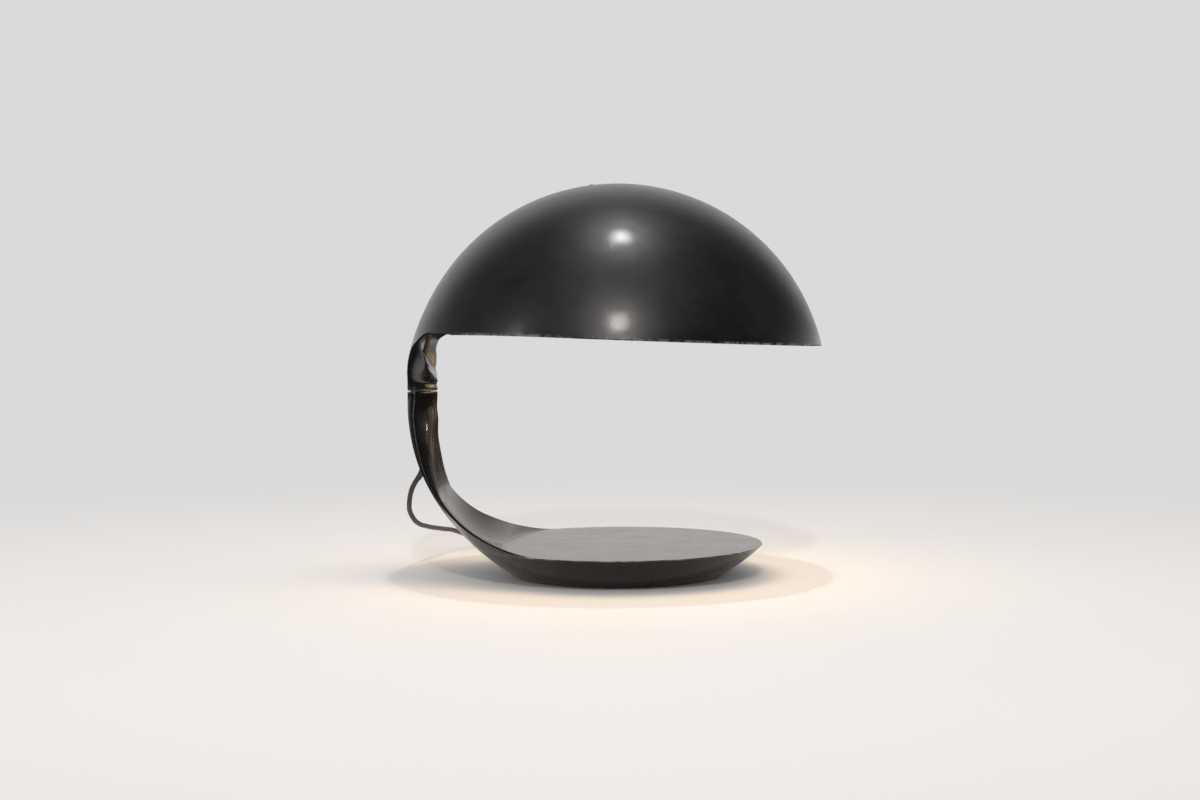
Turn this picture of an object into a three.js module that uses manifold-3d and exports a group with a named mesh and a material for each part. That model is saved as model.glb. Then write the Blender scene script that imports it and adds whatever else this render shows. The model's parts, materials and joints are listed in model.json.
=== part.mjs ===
// Desk lamp with a domed shade that swivels on a curved foot.
// Millimetres, +Z up. The origin is the middle of the foot on the table, +X runs to the shade's free edge
// and the neck stands at -X. Shade, neck and dish all lie on one sphere.
import * as THREE from 'three';
import { mergeVertices } from 'three/addons/utils/BufferGeometryUtils.js';
import Module from 'manifold-3d';

const wasm = await Module();
wasm.setup();

// Driving dimensions of the two shells
const sphereRadius = 207.2;
const sphereSink = 26.6;
const footHeight = 0.4;
const deckHeight = 31.4;
const rimTrim = 0.7;
const flareRadius = 198;
const flareMiddleX = 83;
const neckInset = 12.7;
const neckRadius = 14.95;
const seamRise = 3.4;
const seamGap = 1;
const upperRounding = 1.4;
const lowerRounding = 0.5;
const shadeWall = 3.2;
const rimRise = 55.6;
const rimSlope = 0.043;
const rimDip = 1.7;
const lowerFanInset = 122.5;
const upperFanInset = 44.5;
const domeFanDrop = 280.6;

// What follows from them
const sphereHeight = sphereRadius - sphereSink;
const innerSphere = sphereRadius - shadeWall;
const neckX = neckInset - sphereRadius;
const seamHeight = sphereHeight + seamRise;
const lowerTop = seamHeight - seamGap / 2;
const upperBottom = seamHeight + seamGap / 2;
const rimHeight = sphereHeight + rimRise;
const lowerFanX = neckX + lowerFanInset;
const upperFanX = neckX + upperFanInset;
const domeFanZ = sphereHeight - domeFanDrop;

// Driving dimensions of the swivel, heights from the seam
const gap = 0.3;
const tubeRadius = 5;
const tubeBore = 3.5;
const tubeBelow = 24;
const tubeAbove = 21;
const insertRadius = 8;
const insertDepth = 26;
const bushRadius = 6.5;
const bushRise = 9.2;
const shoulderHeight = 3;
const nutRadius = 6.9;
const nutHeight = 4;
const washerHeight = 0.9;
const pocketRise = 38;
const pocketDome = 5;
const swivelRange = 160;
const pinRadius = 1.5;
const pinCircle = 10.4;
const pinRise = 3;
const pinDepth = 7.5;
const cordBore = 4.6;
const cordBoreLow = 78;

// Driving dimensions of the cord and what is on it
const cordRadius = 2.5;
const coilX = 28;
const coilY = 193.7;
const coilRadius = 39;
const coilTurns = 3.25;
const coilPitch = 5.6;
const coilLayer = 5.7;
const coilSteps = 20;
const tieThickness = 0.6;
const switchX = -75;
const switchY = coilY + coilRadius;
const switchLength = 64;
const switchWidth = 25;
const switchHeight = 15;
const plugX = 94;
const plugY = 181;
const plugLength = 36;
const plugWidth = 26;
const plugHeight = 13.6;

// Driving dimensions of the lamp fittings inside the shade
const screwX = -24;
const seatDrop = 4.2;
const seatRadius = 13;
const bulbDrop = 77;
const bulbRadius = 30;
const bulbLength = 110;
const bracketThickness = 2;
const diffuserInset = 12;
const diffuserThickness = 3;
const diffuserClearance = 3;
const facetAllowance = 0.7;
const clipCount = 3;

// Driving dimensions of what lies in the dish
const dishWall = 6;
const plateInset = 5.3;
const cavityInset = 2;
const cavityBevel = 5;
const feltThickness = 1.5;
const plateThickness = 1.5;
const ballastInset = 17;
const ballastThickness = 14;
const plateScrews = 3;
const bossInset = 10;

// What follows from them for the fittings and the dish
const seatHeight = sphereHeight + Math.sqrt(innerSphere ** 2 - screwX ** 2) - seatDrop;
const bulbHeight = seatHeight - bulbDrop;
const footRadius = Math.sqrt(sphereRadius ** 2 - (sphereHeight - footHeight) ** 2);
const plateRadius = footRadius - plateInset;
const cavityRadius = plateRadius - cavityInset;
const ballastRadius = cavityRadius - ballastInset;
const bossCircle = plateRadius - bossInset;

const degrees = THREE.MathUtils.degToRad;
const lamp = new THREE.Group();
const shade = new THREE.Group();
lamp.add(shade);

// Finishes
const finish = (colour, roughness, metalness = 0) =>
  new THREE.MeshStandardMaterial({ color: colour, roughness, metalness });
const resin = finish('#26272a', 0.35);
const steel = finish('#9a9c9e', 0.35, 1);
const brass = finish('#b08d4a', 0.35, 1);
const nickel = finish('#c9c9c5', 0.25, 1);
const blackPlastic = finish('#1c1c1d', 0.5);
const opal = finish('#f3efe6', 0.4);
const glass = finish('#f6f1e4', 0.2);
const iron = finish('#4b4a48', 0.7, 1);
const felt = finish('#2a2f2b', 0.95);
const rubber = finish('#1f1f20', 0.6);
const porcelain = finish('#ece7db', 0.3);

// One closed body from a geometry: merged corners, no collapsed faces, faces pointing out
function closed(geometry) {
  const bare = geometry.clone();
  bare.deleteAttribute('normal');
  bare.deleteAttribute('uv');
  const merged = mergeVertices(bare, 1e-4);
  const corners = merged.index.array;
  const place = merged.attributes.position;
  const kept = [];
  let volume = 0;
  const a = new THREE.Vector3();
  const b = new THREE.Vector3();
  const c = new THREE.Vector3();
  for (let k = 0; k < corners.length; k += 3) {
    const [i, j, m] = [corners[k], corners[k + 1], corners[k + 2]];
    if (i === j || j === m || m === i) continue;
    kept.push([i, j, m]);
    a.fromBufferAttribute(place, i);
    b.fromBufferAttribute(place, j);
    c.fromBufferAttribute(place, m);
    volume += a.dot(b.cross(c));
  }
  merged.setIndex(kept.flatMap(([i, j, m]) => (volume > 0 ? [i, j, m] : [i, m, j])));
  return merged;
}

function toManifold(geometry) {
  const body = closed(geometry);
  return new wasm.Manifold(new wasm.Mesh({
    numProp: 3,
    vertProperties: new Float32Array(body.attributes.position.array),
    triVerts: new Uint32Array(body.index.array),
  }));
}

function fromManifold(body) {
  const mesh = body.getMesh();
  const geometry = new THREE.BufferGeometry();
  geometry.setAttribute('position', new THREE.BufferAttribute(new Float32Array(mesh.vertProperties), 3));
  geometry.setIndex(new THREE.BufferAttribute(new Uint32Array(mesh.triVerts), 1));
  return geometry;
}

// A body with others joined to it and others cut from it
function shaped(geometry, joined, cut) {
  let body = toManifold(geometry);
  for (const piece of joined) body = body.add(toManifold(piece));
  for (const piece of cut) body = body.subtract(toManifold(piece));
  return fromManifold(body);
}

function add(name, geometry, material, parent = lamp) {
  const mesh = new THREE.Mesh(closed(geometry), material);
  mesh.geometry.computeVertexNormals();
  mesh.name = name;
  parent.add(mesh);
  return mesh;
}

// A turned body about Z from pairs of radius and height that go once round its section
function turned(profile, sides = 18) {
  const points = profile.map(([radius, height]) => new THREE.Vector2(radius, height));
  points.push(points[0].clone());
  return new THREE.LatheGeometry(points, sides).rotateX(Math.PI / 2);
}

const rod = (radius, low, high, sides = 18) =>
  turned([[0, low], [radius, low], [radius, high], [0, high]], sides);
const ringBody = (inner, outer, low, high, sides = 18) =>
  turned([[inner, low], [outer, low], [outer, high], [inner, high]], sides);
const block = (x, y, z) => new THREE.BoxGeometry(x, y, z);
const vector = (x, y, z) => new THREE.Vector3(x, y, z);

// Part of a longer curve, between two lengths along it
class Stretch extends THREE.Curve {
  constructor(whole, from, to) {
    super();
    this.whole = whole;
    this.from = from / whole.getLength();
    this.to = to / whole.getLength();
  }

  getPoint(t, target) {
    return this.whole.getPointAt(Math.min(THREE.MathUtils.lerp(this.from, this.to, t), 1), target);
  }
}

function tubeAlong(route, radius, steps, sides) {
  const outline = new THREE.Shape();
  for (let k = 0; k < sides; k++) {
    const angle = (2 * Math.PI * (k + 0.5)) / sides;
    const method = k ? 'lineTo' : 'moveTo';
    outline[method](radius * Math.cos(angle), radius * Math.sin(angle));
  }
  const path = Array.isArray(route) ? new THREE.CatmullRomCurve3(route, false, 'centripetal') : route;
  return new THREE.ExtrudeGeometry(outline, { steps, extrudePath: path, bevelEnabled: false });
}

// A plane that holds a line along Y through (x, z) and points along an angle in the XZ plane.
// Angles from the sphere's middle are measured in the plane from its direction.
function slice(x, z, angle) {
  const dx = Math.cos(angle);
  const dz = Math.sin(angle);
  const middle = -x * dx + (sphereHeight - z) * dz;
  const offset = x * dz + (sphereHeight - z) * dx;
  return { x, z, dx, dz, middle, offset };
}
const reach = (plane, radius) => Math.sqrt(Math.max(radius ** 2 - plane.offset ** 2, 0));
function spot(plane, along, y) {
  return new THREE.Vector3(plane.x + plane.dx * along, y, plane.z + plane.dz * along);
}

// Values between hand-set stations, smooth and without overshoot
function between(stations, column, at) {
  const xs = stations.map((row) => row[0]);
  const ys = stations.map((row) => row[column]);
  let k = 0;
  while (k < xs.length - 2 && at > xs[k + 1]) k++;
  const slope = (i) => (ys[i + 1] - ys[i]) / (xs[i + 1] - xs[i]);
  const tangent = (i) => {
    if (i === 0) return slope(0);
    if (i === xs.length - 1) return slope(i - 1);
    const [before, after] = [slope(i - 1), slope(i)];
    return before * after <= 0 ? 0 : (2 * before * after) / (before + after);
  };
  const width = xs[k + 1] - xs[k];
  const t = Math.min(Math.max((at - xs[k]) / width, 0), 1);
  return ys[k] * (1 + 2 * t) * (1 - t) ** 2 + ys[k + 1] * t * t * (3 - 2 * t)
    + width * (tangent(k) * t * (1 - t) ** 2 - tangent(k + 1) * t * t * (1 - t));
}

// Half of a row of angles: even steps between stops, closing up towards the last one
function stepsTo(stops, counts) {
  const list = [0];
  let from = 0;
  stops.forEach((stop, i) => {
    const last = i === stops.length - 1;
    for (let k = 1; k <= counts[i]; k++) {
      const t = k / counts[i];
      list.push(from + (stop - from) * (last ? Math.sin((t * Math.PI) / 2) : t));
    }
    from = stop;
  });
  return list;
}

// One closed ring of points: the outer line from edge to edge, then the inner line back
function ringOf(plane, edge, outerHalf, innerHalf, outerAt, innerAt, roundness) {
  const point = (angle, radius, side, away) => {
    const share = Math.abs(side);
    const flat = spot(plane, plane.middle + radius * Math.cos(angle), radius * Math.sin(angle));
    const depth = away * neckRadius * Math.sqrt(Math.max(1 - share * share, 0));
    const neckAlong = (neckX - plane.x) / plane.dx;
    const round = spot(plane, neckAlong + depth, neckRadius * side);
    return roundness > 0 ? flat.lerp(round, roundness) : flat;
  };
  const mirror = (half) => [...half.slice(1).reverse().map((a) => -a), ...half];
  const outer = mirror(outerHalf).map((a) => point(a, outerAt(Math.abs(a)), edge ? a / edge : 0, 1));
  const inner = mirror(innerHalf).reverse().slice(1, -1)
    .map((a) => point(a, innerAt(Math.abs(a)), edge ? a / edge : 0, -1));
  return [...outer, ...inner];
}

// A closed skin over rings of equal counts, flat at its first ring
function loft(rings) {
  const positions = [];
  const indices = [];
  const count = rings[0].length;
  rings.forEach((ring) => ring.forEach((p) => positions.push(p.x, p.y, p.z)));
  for (let i = 0; i + 1 < rings.length; i++) {
    for (let k = 0; k < count; k++) {
      const [a, b] = [i * count + k, i * count + ((k + 1) % count)];
      indices.push(a, b, b + count, a, b + count, a + count);
    }
  }
  const middle = rings[0].reduce((sum, p) => sum.add(p), new THREE.Vector3()).divideScalar(count);
  positions.push(middle.x, middle.y, middle.z);
  const hub = rings.length * count;
  for (let k = 0; k < count; k++) indices.push(hub, (k + 1) % count, k);
  const geometry = new THREE.BufferGeometry();
  geometry.setAttribute('position', new THREE.Float32BufferAttribute(positions, 3));
  geometry.setIndex(indices);
  return geometry;
}

// How far a rounded lip draws in at an angle, for a lip of a given radius that ends at the edge
function lipAt(angle, edge, lip, radius, power) {
  const width = Math.min(lip / radius, edge);
  const into = Math.min(Math.max((angle - (edge - width)) / width, 0), 1);
  return width > 0 ? lip * (1 - (1 - into ** power) ** (1 / power)) : lip;
}
const smooth = (from, to, at) => THREE.MathUtils.smoothstep(at, from, to);

// Neck rings that round off a seam edge
function seamRings(ring, height, toward, rounding) {
  return [0, 0.5, 1].map((t) => {
    const turn = (t * Math.PI) / 2;
    const shrink = 1 - (rounding * (1 - Math.sin(turn))) / neckRadius;
    const z = height + toward * rounding * (1 - Math.cos(turn));
    return ring.map((p) => new THREE.Vector3(neckX + (p.x - neckX) * shrink, p.y * shrink, z));
  });
}

// Curved foot: fan angle, half width, lip radius, thickness in the middle, swell of the back
const lowerStations = [
  [0, neckRadius, neckRadius, 2 * neckRadius, neckRadius - neckInset],
  [7, 16.3, 13.6, 27.7, 2.3],
  [13, 19.2, 11.8, 27.2, 2.3],
  [22, 27.2, 9, 23.7, 2.3],
  [30, 35.8, 6.7, 20, 2.2],
  [38, 43.7, 4.2, 15, 1.9],
  [43, 48.6, 2.7, 12, 1.6],
  [50, 58.6, 1.7, 8.2, 1],
  [58, 70.7, 1.3, 6.5, 0.4],
  [66, 85.5, 1.1, 8.5, 0.1],
  [73, 97.6, 0.9, 15.8, 0],
  [79, 107.4, 0.8, 22.6, 0],
  [90, 123.5, 0.6, 36.1, 0],
];
const deckDrop = sphereHeight - deckHeight;
const rimRadius = Math.sqrt(sphereRadius ** 2 - deckDrop ** 2) - rimTrim;
const fanHeight = lowerTop - lowerRounding;
const blendFan = 63;
const deckFan = 74.5;
const lowerCounts = [2, 4, 3];
const fanSteps = 20;
const deckSteps = 12;
const lowerSlice = (turn) => slice(lowerFanX, fanHeight, Math.PI + degrees(turn));
const backAt = (plane, turn) => reach(plane, sphereRadius) + between(lowerStations, 4, turn);
const frontAt = (plane, turn) => plane.middle + backAt(plane, turn) - between(lowerStations, 3, turn);
const blendStart = (fanHeight - deckHeight) / Math.sin(degrees(blendFan))
  - frontAt(lowerSlice(blendFan), blendFan);

function lowerRing(plane, turn) {
  const outerRadius = backAt(plane, turn);
  const fromFan = (height) => (plane.z - height) / -plane.dz;
  const deckAlong = turn > 1 ? fromFan(deckHeight) : Infinity;
  const footAlong = turn > 1 ? fromFan(footHeight) : Infinity;
  const onDeck = turn >= 90;
  const deckX = plane.x + plane.dx * deckAlong;
  const halfWidth = onDeck ? Math.sqrt(Math.max(rimRadius ** 2 - plane.x ** 2, 0))
    : between(lowerStations, 1, turn);
  const edge = Math.asin(halfWidth / outerRadius);
  let front = frontAt(plane, turn);
  if (turn > blendFan) {
    const share = Math.max((deckFan - turn) / (deckFan - blendFan), 0);
    front = deckAlong - blendStart * share ** 2;
  }
  const base = front - plane.middle;
  const lip = onDeck ? (outerRadius - base / Math.cos(edge)) / 2 : between(lowerStations, 2, turn);
  const rise = Math.max(base / Math.cos(edge) - (outerRadius - 2 * lip), 0);
  const arc = Math.sqrt(Math.max(flareRadius ** 2 - (deckX - flareMiddleX) ** 2, 0));
  const isFlat = turn > deckFan && deckX < flareMiddleX + flareRadius;
  const flat = isFlat ? Math.min(Math.atan(arc / base), edge * 0.96) : 0;
  const bend = THREE.MathUtils.lerp(2, 1.6, smooth(60, 76, turn));
  const power = THREE.MathUtils.lerp(2, 2.6, smooth(6, 30, turn));
  const lipStart = Math.max(edge - lip / outerRadius, edge * 0.4);
  const foot = footAlong - plane.middle;
  const footAngle = foot < outerRadius ? Math.acos(foot / outerRadius) : 0;
  const outerAt = (a) => Math.min(outerRadius - lipAt(a, edge, lip, outerRadius, power), foot / Math.cos(a));
  const innerAt = (a) => {
    const into = edge > flat ? Math.max((a - flat) / (edge - flat), 0) : 0;
    return base / Math.cos(a) - rise * into ** bend + lipAt(a, edge, lip, outerRadius, power);
  };
  const closeAt = (a) => (a >= edge ? outerAt(a) : Math.min(innerAt(a), outerAt(a)));
  const outerHalf = stepsTo([Math.min(footAngle, edge), Math.max(lipStart, footAngle), edge], lowerCounts);
  const innerHalf = stepsTo([Math.min(flat, lipStart), lipStart, edge], lowerCounts);
  const roundness = 1 - smooth(0, 16, turn);
  return ringOf(plane, edge, outerHalf, innerHalf, outerAt, closeAt, roundness);
}

function lowerBody() {
  const rings = [];
  for (let k = 0; k <= fanSteps; k++) {
    const turn = (90 * k) / fanSteps;
    rings.push(lowerRing(lowerSlice(turn), turn));
  }
  for (let k = 1; k <= deckSteps; k++) {
    const x = lowerFanX + (rimRadius - lowerFanX) * Math.sin((k / deckSteps) * Math.PI / 2);
    rings.push(lowerRing(slice(x, fanHeight, 1.5 * Math.PI), 90));
  }
  return loft([...seamRings(rings[0], lowerTop, -1, lowerRounding), ...rings.slice(1)]);
}

// Shade: fan angle, half width, lip radius, thickness over the wall, swell of the back
const upperStations = [
  [0, neckRadius, neckRadius, 2 * neckRadius - shadeWall, neckRadius - neckInset],
  [8, 16.2, 13.9, 24.4, 2.4],
  [17, 21, 14.3, 24.7, 2.6],
  [25, 29, 14.8, 19.8, 2.7],
  [34, 39.8, 13.1, 11.9, 2.5],
  [41, 50.5, 10.3, 6.4, 2.2],
  [49, 64, 4, 2.5, 1.7],
  [55, 72.5, 1.9, 0.9, 1.2],
  [61, 82.6, 1.7, 0.4, 0.8],
  [72, 104.5, 1.6, 0, 0.3],
  [81, 118, 1.6, 0, 0],
];
const rimAt = (x) => rimHeight - rimSlope * x - rimDip * Math.max((-x - 60) / 90, 0) ** 2;
const upperCounts = [6, 3];
const hoodSteps = 18;
const domeSteps = 14;

// Distance along a plane's direction to the rim
function rimAlong(plane) {
  let along = (rimHeight - plane.z) / plane.dz;
  for (let k = 0; k < 12; k++) along = (rimAt(plane.x + plane.dx * along) - plane.z) / plane.dz;
  return along;
}

function upperRing(plane, turn, onDome) {
  const wallAt = reach(plane, sphereRadius) - reach(plane, sphereRadius - shadeWall);
  const swell = onDome ? 0 : between(upperStations, 4, Math.min(turn, 81));
  const outerRadius = reach(plane, sphereRadius) + swell;
  const rim = rimAlong(slice(upperFanX, domeFanZ, Math.PI / 2));
  const rimWidth = Math.sqrt(sphereRadius ** 2 - upperFanX ** 2 - (domeFanZ + rim - sphereHeight) ** 2);
  const widths = [...upperStations, [90, rimWidth, 1.6, 0, 0]];
  const rimLine = onDome ? rimAlong(plane) - plane.middle : 0;
  const edge = onDome ? Math.acos(Math.min(rimLine / outerRadius, 1))
    : Math.asin(between(widths, 1, turn) / outerRadius);
  const lip = onDome ? shadeWall / 2 : between(widths, 2, turn);
  const extra = onDome ? 0 : between(widths, 3, turn);
  const rimShare = onDome ? 1 : smooth(52, 84, turn);
  const middleWall = wallAt + extra;
  const edgeWall = Math.max(2 * lip, wallAt);
  const cutLine = outerRadius * Math.cos(edge);
  const power = THREE.MathUtils.lerp(2, 2.6, smooth(6, 30, turn));
  const lipEdge = Math.max(edge - lip / outerRadius, edge * 0.4);
  const innerRadius = outerRadius - middleWall;
  const cutAngle = cutLine < innerRadius ? Math.acos(cutLine / innerRadius) : 0;
  const stop = THREE.MathUtils.lerp(lipEdge, Math.min(cutAngle, edge), rimShare);
  const draw = (a) => lipAt(a, edge, edgeWall / 2, outerRadius, power);
  const outerAt = (a) => outerRadius - draw(a) * (1 - rimShare);
  const innerAt = (a) => {
    if (a >= edge) return outerAt(a);
    const share = edge > 0 ? a / edge : 0;
    const rounded = outerRadius - middleWall - (edgeWall - middleWall) * share ** 2 + draw(a);
    const squared = Math.max(innerRadius, cutLine / Math.cos(a));
    return Math.min(THREE.MathUtils.lerp(rounded, squared, rimShare), outerAt(a));
  };
  const outerHalf = stepsTo([lipEdge, edge], upperCounts);
  const innerHalf = stepsTo([stop, edge], upperCounts);
  const roundness = onDome ? 0 : 1 - smooth(0, 16, turn);
  return ringOf(plane, edge, outerHalf, innerHalf, outerAt, innerAt, roundness);
}

function shadeShell() {
  const hoodLow = upperBottom + upperRounding;
  const rings = [];
  for (let k = 0; k <= hoodSteps; k++) {
    const turn = (90 * k) / hoodSteps;
    rings.push(upperRing(slice(upperFanX, hoodLow, Math.PI - degrees(turn)), turn, k === hoodSteps));
  }
  let tip = sphereRadius;
  for (let k = 0; k < 12; k++) tip = Math.sqrt(sphereRadius ** 2 - (rimAt(tip) - sphereHeight) ** 2);
  const last = Math.atan2(rimAt(tip) - domeFanZ, tip - upperFanX);
  for (let k = 1; k <= domeSteps; k++) {
    const turn = Math.PI / 2 + (last - Math.PI / 2) * Math.sin((k / domeSteps) * Math.PI / 2);
    rings.push(upperRing(slice(upperFanX, domeFanZ, turn), 90, true));
  }
  return loft([...seamRings(rings[0], upperBottom, 1, upperRounding), ...rings.slice(1)]);
}

// The boss under the top of the dome, the seats for the diffuser clips and the stop groove
const rimTilt = Math.atan(rimSlope);
const diffuserLow = rimRise * Math.cos(rimTilt) + diffuserInset;
const innerAtHeight = (height) => Math.sqrt(innerSphere ** 2 - height ** 2);
const clipBossHeight = diffuserLow - 7;
const clipBossRadius = 4;
const clipBossFace = innerAtHeight(clipBossHeight) - 7;
const clipScrewRadius = 1.45;
const bracketScrewRadius = 1.45;
const holeClearance = 0.35;

// Places a body that is built round the tilted axis of the rim
function onRim(geometry, turn) {
  const placed = geometry.clone().rotateZ(turn).rotateY(rimTilt);
  return placed.translate(0, 0, sphereHeight);
}
const clipTurns = Array.from({ length: clipCount }, (_, k) => (2 * Math.PI * k) / clipCount);
const lying = (geometry) => geometry.rotateY(Math.PI / 2);

function clipBoss(turn) {
  const depth = sphereRadius - shadeWall / 2;
  const outer = Math.sqrt(depth ** 2 - (clipBossHeight + clipBossRadius) ** 2);
  const boss = lying(rod(clipBossRadius, clipBossFace, outer, 16)).translate(0, 0, clipBossHeight);
  return onRim(boss, turn);
}
function clipHole(turn) {
  const hole = lying(rod(clipScrewRadius + holeClearance, clipBossFace - 1, clipBossFace + 7, 12));
  return onRim(hole.translate(0, 0, clipBossHeight), turn);
}

function stopGroove() {
  const pinHalf = THREE.MathUtils.radToDeg(Math.asin(pinRadius / pinCircle));
  const half = degrees(swivelRange + pinHalf + 1);
  const [inner, outer] = [pinCircle - pinRadius - gap, pinCircle + pinRadius + gap];
  const outline = new THREE.Shape();
  outline.absarc(0, 0, outer, Math.PI - half, Math.PI + half, false);
  outline.absarc(0, 0, inner, Math.PI + half, Math.PI - half, true);
  const groove = new THREE.ExtrudeGeometry(outline, {
    depth: pinRise + seamGap + gap, bevelEnabled: false, curveSegments: 20,
  });
  return groove.translate(neckX, 0, upperBottom - seamGap);
}

const tubeBottom = seamHeight - tubeBelow;
const tubeTop = seamHeight + tubeAbove;
const insertBottom = seamHeight - insertDepth;
const bushTop = seamHeight + bushRise;
const pocketTop = seamHeight + pocketRise;
const shoulderLow = bushTop + gap;
const shoulderTop = shoulderLow + shoulderHeight;
const pocketRadius = nutRadius + gap;
const pocket = turned([
  [0, shoulderTop],
  [pocketRadius, shoulderTop],
  [pocketRadius, pocketTop - pocketDome],
  [pocketRadius * 0.8, pocketTop - pocketDome * 0.36],
  [0, pocketTop],
]);
const bossTop = sphereHeight + Math.sqrt(sphereRadius ** 2 - (seatRadius - screwX) ** 2) - shadeWall * 0.4;
const domeTopAtScrew = sphereHeight + Math.sqrt(sphereRadius ** 2 - screwX ** 2);
const headSeat = domeTopAtScrew - 0.8;
const headRadius = 2.5;
const shadeCuts = [
  rod(bushRadius + gap, upperBottom - 1, shoulderLow).translate(neckX, 0, 0),
  rod(tubeRadius + gap, shoulderLow - 1, shoulderTop + 1).translate(neckX, 0, 0),
  pocket.translate(neckX, 0, 0),
  stopGroove(),
  rod(bracketScrewRadius + holeClearance, seatHeight - 1, domeTopAtScrew + 2, 12).translate(screwX, 0, 0),
  rod(headRadius + 0.5, headSeat, domeTopAtScrew + 2, 16).translate(screwX, 0, 0),
  ...clipTurns.map(clipHole),
];
const shadeBosses = [
  rod(seatRadius, seatHeight, bossTop).translate(screwX, 0, 0),
  ...clipTurns.map(clipBoss),
];
add('shade_shell', shaped(shadeShell(), shadeBosses, shadeCuts), resin, shade);

// The hollow of the dish, its bosses and the bores of the lower neck
const plateLow = feltThickness + gap;
const plateTop = plateLow + plateThickness;
const cavityTop = deckHeight - dishWall;
const ballastLow = plateTop + gap;
const ballastTop = ballastLow + ballastThickness;
const boltRadius = 3;
const boltHeadRadius = 5.5;
const boltHeadHeight = 4;
const plateScrewRadius = 1.9;
const bossRadius = 4.5;
const centreBossRadius = 12;

function around(count, radius, make) {
  return Array.from({ length: count }, (_, k) => {
    const turn = (2 * Math.PI * k) / count;
    return make().translate(radius * Math.cos(turn), radius * Math.sin(turn), 0);
  });
}
const dishHollow = turned([
  [0, footHeight - 2],
  [plateRadius + gap, footHeight - 2],
  [plateRadius + gap, plateTop + gap],
  [cavityRadius, plateTop + gap],
  [cavityRadius, cavityTop - cavityBevel],
  [cavityRadius - cavityBevel, cavityTop],
  [0, cavityTop],
], 36);
const dishBosses = [
  rod(centreBossRadius, ballastTop + gap, cavityTop + 1, 24),
  ...around(plateScrews, bossCircle, () => rod(bossRadius, plateTop + gap, cavityTop + 1, 16)),
];
const dishHoles = [
  rod(boltRadius + gap, ballastTop - 1, cavityTop + 2, 16),
  ...around(plateScrews, bossCircle, () => rod(plateScrewRadius + gap, plateTop - 1, plateTop + 16, 12)),
];
const hollowed = shaped(lowerBody(), [], [dishHollow]);
const neckCuts = [
  rod(insertRadius + gap, insertBottom - gap, lowerTop + 1).translate(neckX, 0, 0),
  rod(cordBore, cordBoreLow, insertBottom + 1).translate(neckX, 0, 0),
  rod(pinRadius + gap, lowerTop - pinDepth - 2 * gap, lowerTop + 1, 12).translate(neckX - pinCircle, 0, 0),
];
add('lower_body', shaped(hollowed, dishBosses, [...dishHoles, ...neckCuts]), resin);

// Swivel
const swivel = new THREE.Group();
swivel.position.set(neckX, 0, 0);
lamp.add(swivel);
const turning = new THREE.Group();
turning.position.set(neckX, 0, 0);
shade.add(turning);
const washerLow = shoulderTop + gap;
const waveLow = washerLow + washerHeight + gap;
const nutLow = waveLow + washerHeight + gap;
add('swivel_tube', ringBody(tubeBore, tubeRadius, tubeBottom, tubeTop), steel, swivel);
add('neck_insert', ringBody(tubeRadius + gap, insertRadius, insertBottom, lowerTop), brass, swivel);
const seamWasherOuter = pinCircle - pinRadius - 0.4;
const seamWasher = ringBody(tubeRadius + gap, seamWasherOuter, lowerTop + gap, upperBottom - gap);
add('seam_washer', seamWasher, brass, swivel);
add('swivel_bush', ringBody(tubeRadius + gap, bushRadius, upperBottom + gap, bushTop), brass, turning);
add('thrust_washer', ringBody(tubeRadius + gap, nutRadius, washerLow, washerLow + washerHeight), steel, swivel);
add('spring_washer', springWasher(waveLow, washerHeight), steel, swivel);
add('ring_nut', ringNut(), nickel, swivel);
const stopPin = rod(pinRadius, lowerTop - pinDepth, lowerTop + pinRise + gap, 16);
add('stop_pin', stopPin.translate(-pinCircle, 0, 0), steel, swivel);

// A split ring whose ends stand a little apart
function springWasher(low, height) {
  const outline = new THREE.Shape();
  const slit = 0.12;
  outline.absarc(0, 0, nutRadius, slit, 2 * Math.PI - slit, false);
  outline.absarc(0, 0, tubeRadius + gap, 2 * Math.PI - slit, slit, true);
  const ring = new THREE.ExtrudeGeometry(outline, { depth: height, bevelEnabled: false, curveSegments: 12 });
  return ring.translate(0, 0, low);
}

function ringNut() {
  const body = ringBody(tubeRadius + gap, nutRadius, nutLow, nutLow + nutHeight);
  const slot = block(2 * nutRadius + 2, 2, 3).translate(0, 0, nutLow + nutHeight);
  return shaped(body, [], [slot]);
}

// Ballast, base plate and felt in the dish
const ballastHole = rod(boltRadius + gap, ballastLow - 1, ballastTop + 1, 16);
const headPocket = rod(boltHeadRadius + 0.5, ballastLow - 1, ballastLow + boltHeadHeight + gap, 20);
add('ballast', shaped(rod(ballastRadius, ballastLow, ballastTop, 32), [], [ballastHole, headPocket]), iron);
add('ballast_bolt', turned([
  [0, ballastLow],
  [boltHeadRadius, ballastLow],
  [boltHeadRadius, ballastLow + boltHeadHeight],
  [boltRadius, ballastLow + boltHeadHeight],
  [boltRadius, cavityTop + 1.6],
  [0, cavityTop + 1.6],
], 20), steel);
const plateHoles = around(plateScrews, bossCircle, () => rod(plateScrewRadius + gap, 0, plateTop + 1, 12));
const plateBody = rod(plateRadius, plateLow, plateTop, 36);
add('base_plate', shaped(plateBody, [], plateHoles), steel);
around(plateScrews, bossCircle, () => turned([
  [0, plateLow - 1.3],
  [3.6, plateLow - 1.3],
  [3.6, plateLow - gap],
  [plateScrewRadius, plateLow - gap],
  [plateScrewRadius, plateTop + 12],
  [0, plateTop + 12],
], 12)).forEach((screw, k) => add(`plate_screw_${k + 1}`, screw, steel));
const feltHoles = around(plateScrews, bossCircle, () => rod(4.1, plateLow - 3, plateLow + 1, 12));
add('felt_pad', shaped(rod(plateRadius - 0.5, 0, feltThickness, 36), [], feltHoles), felt);

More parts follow.
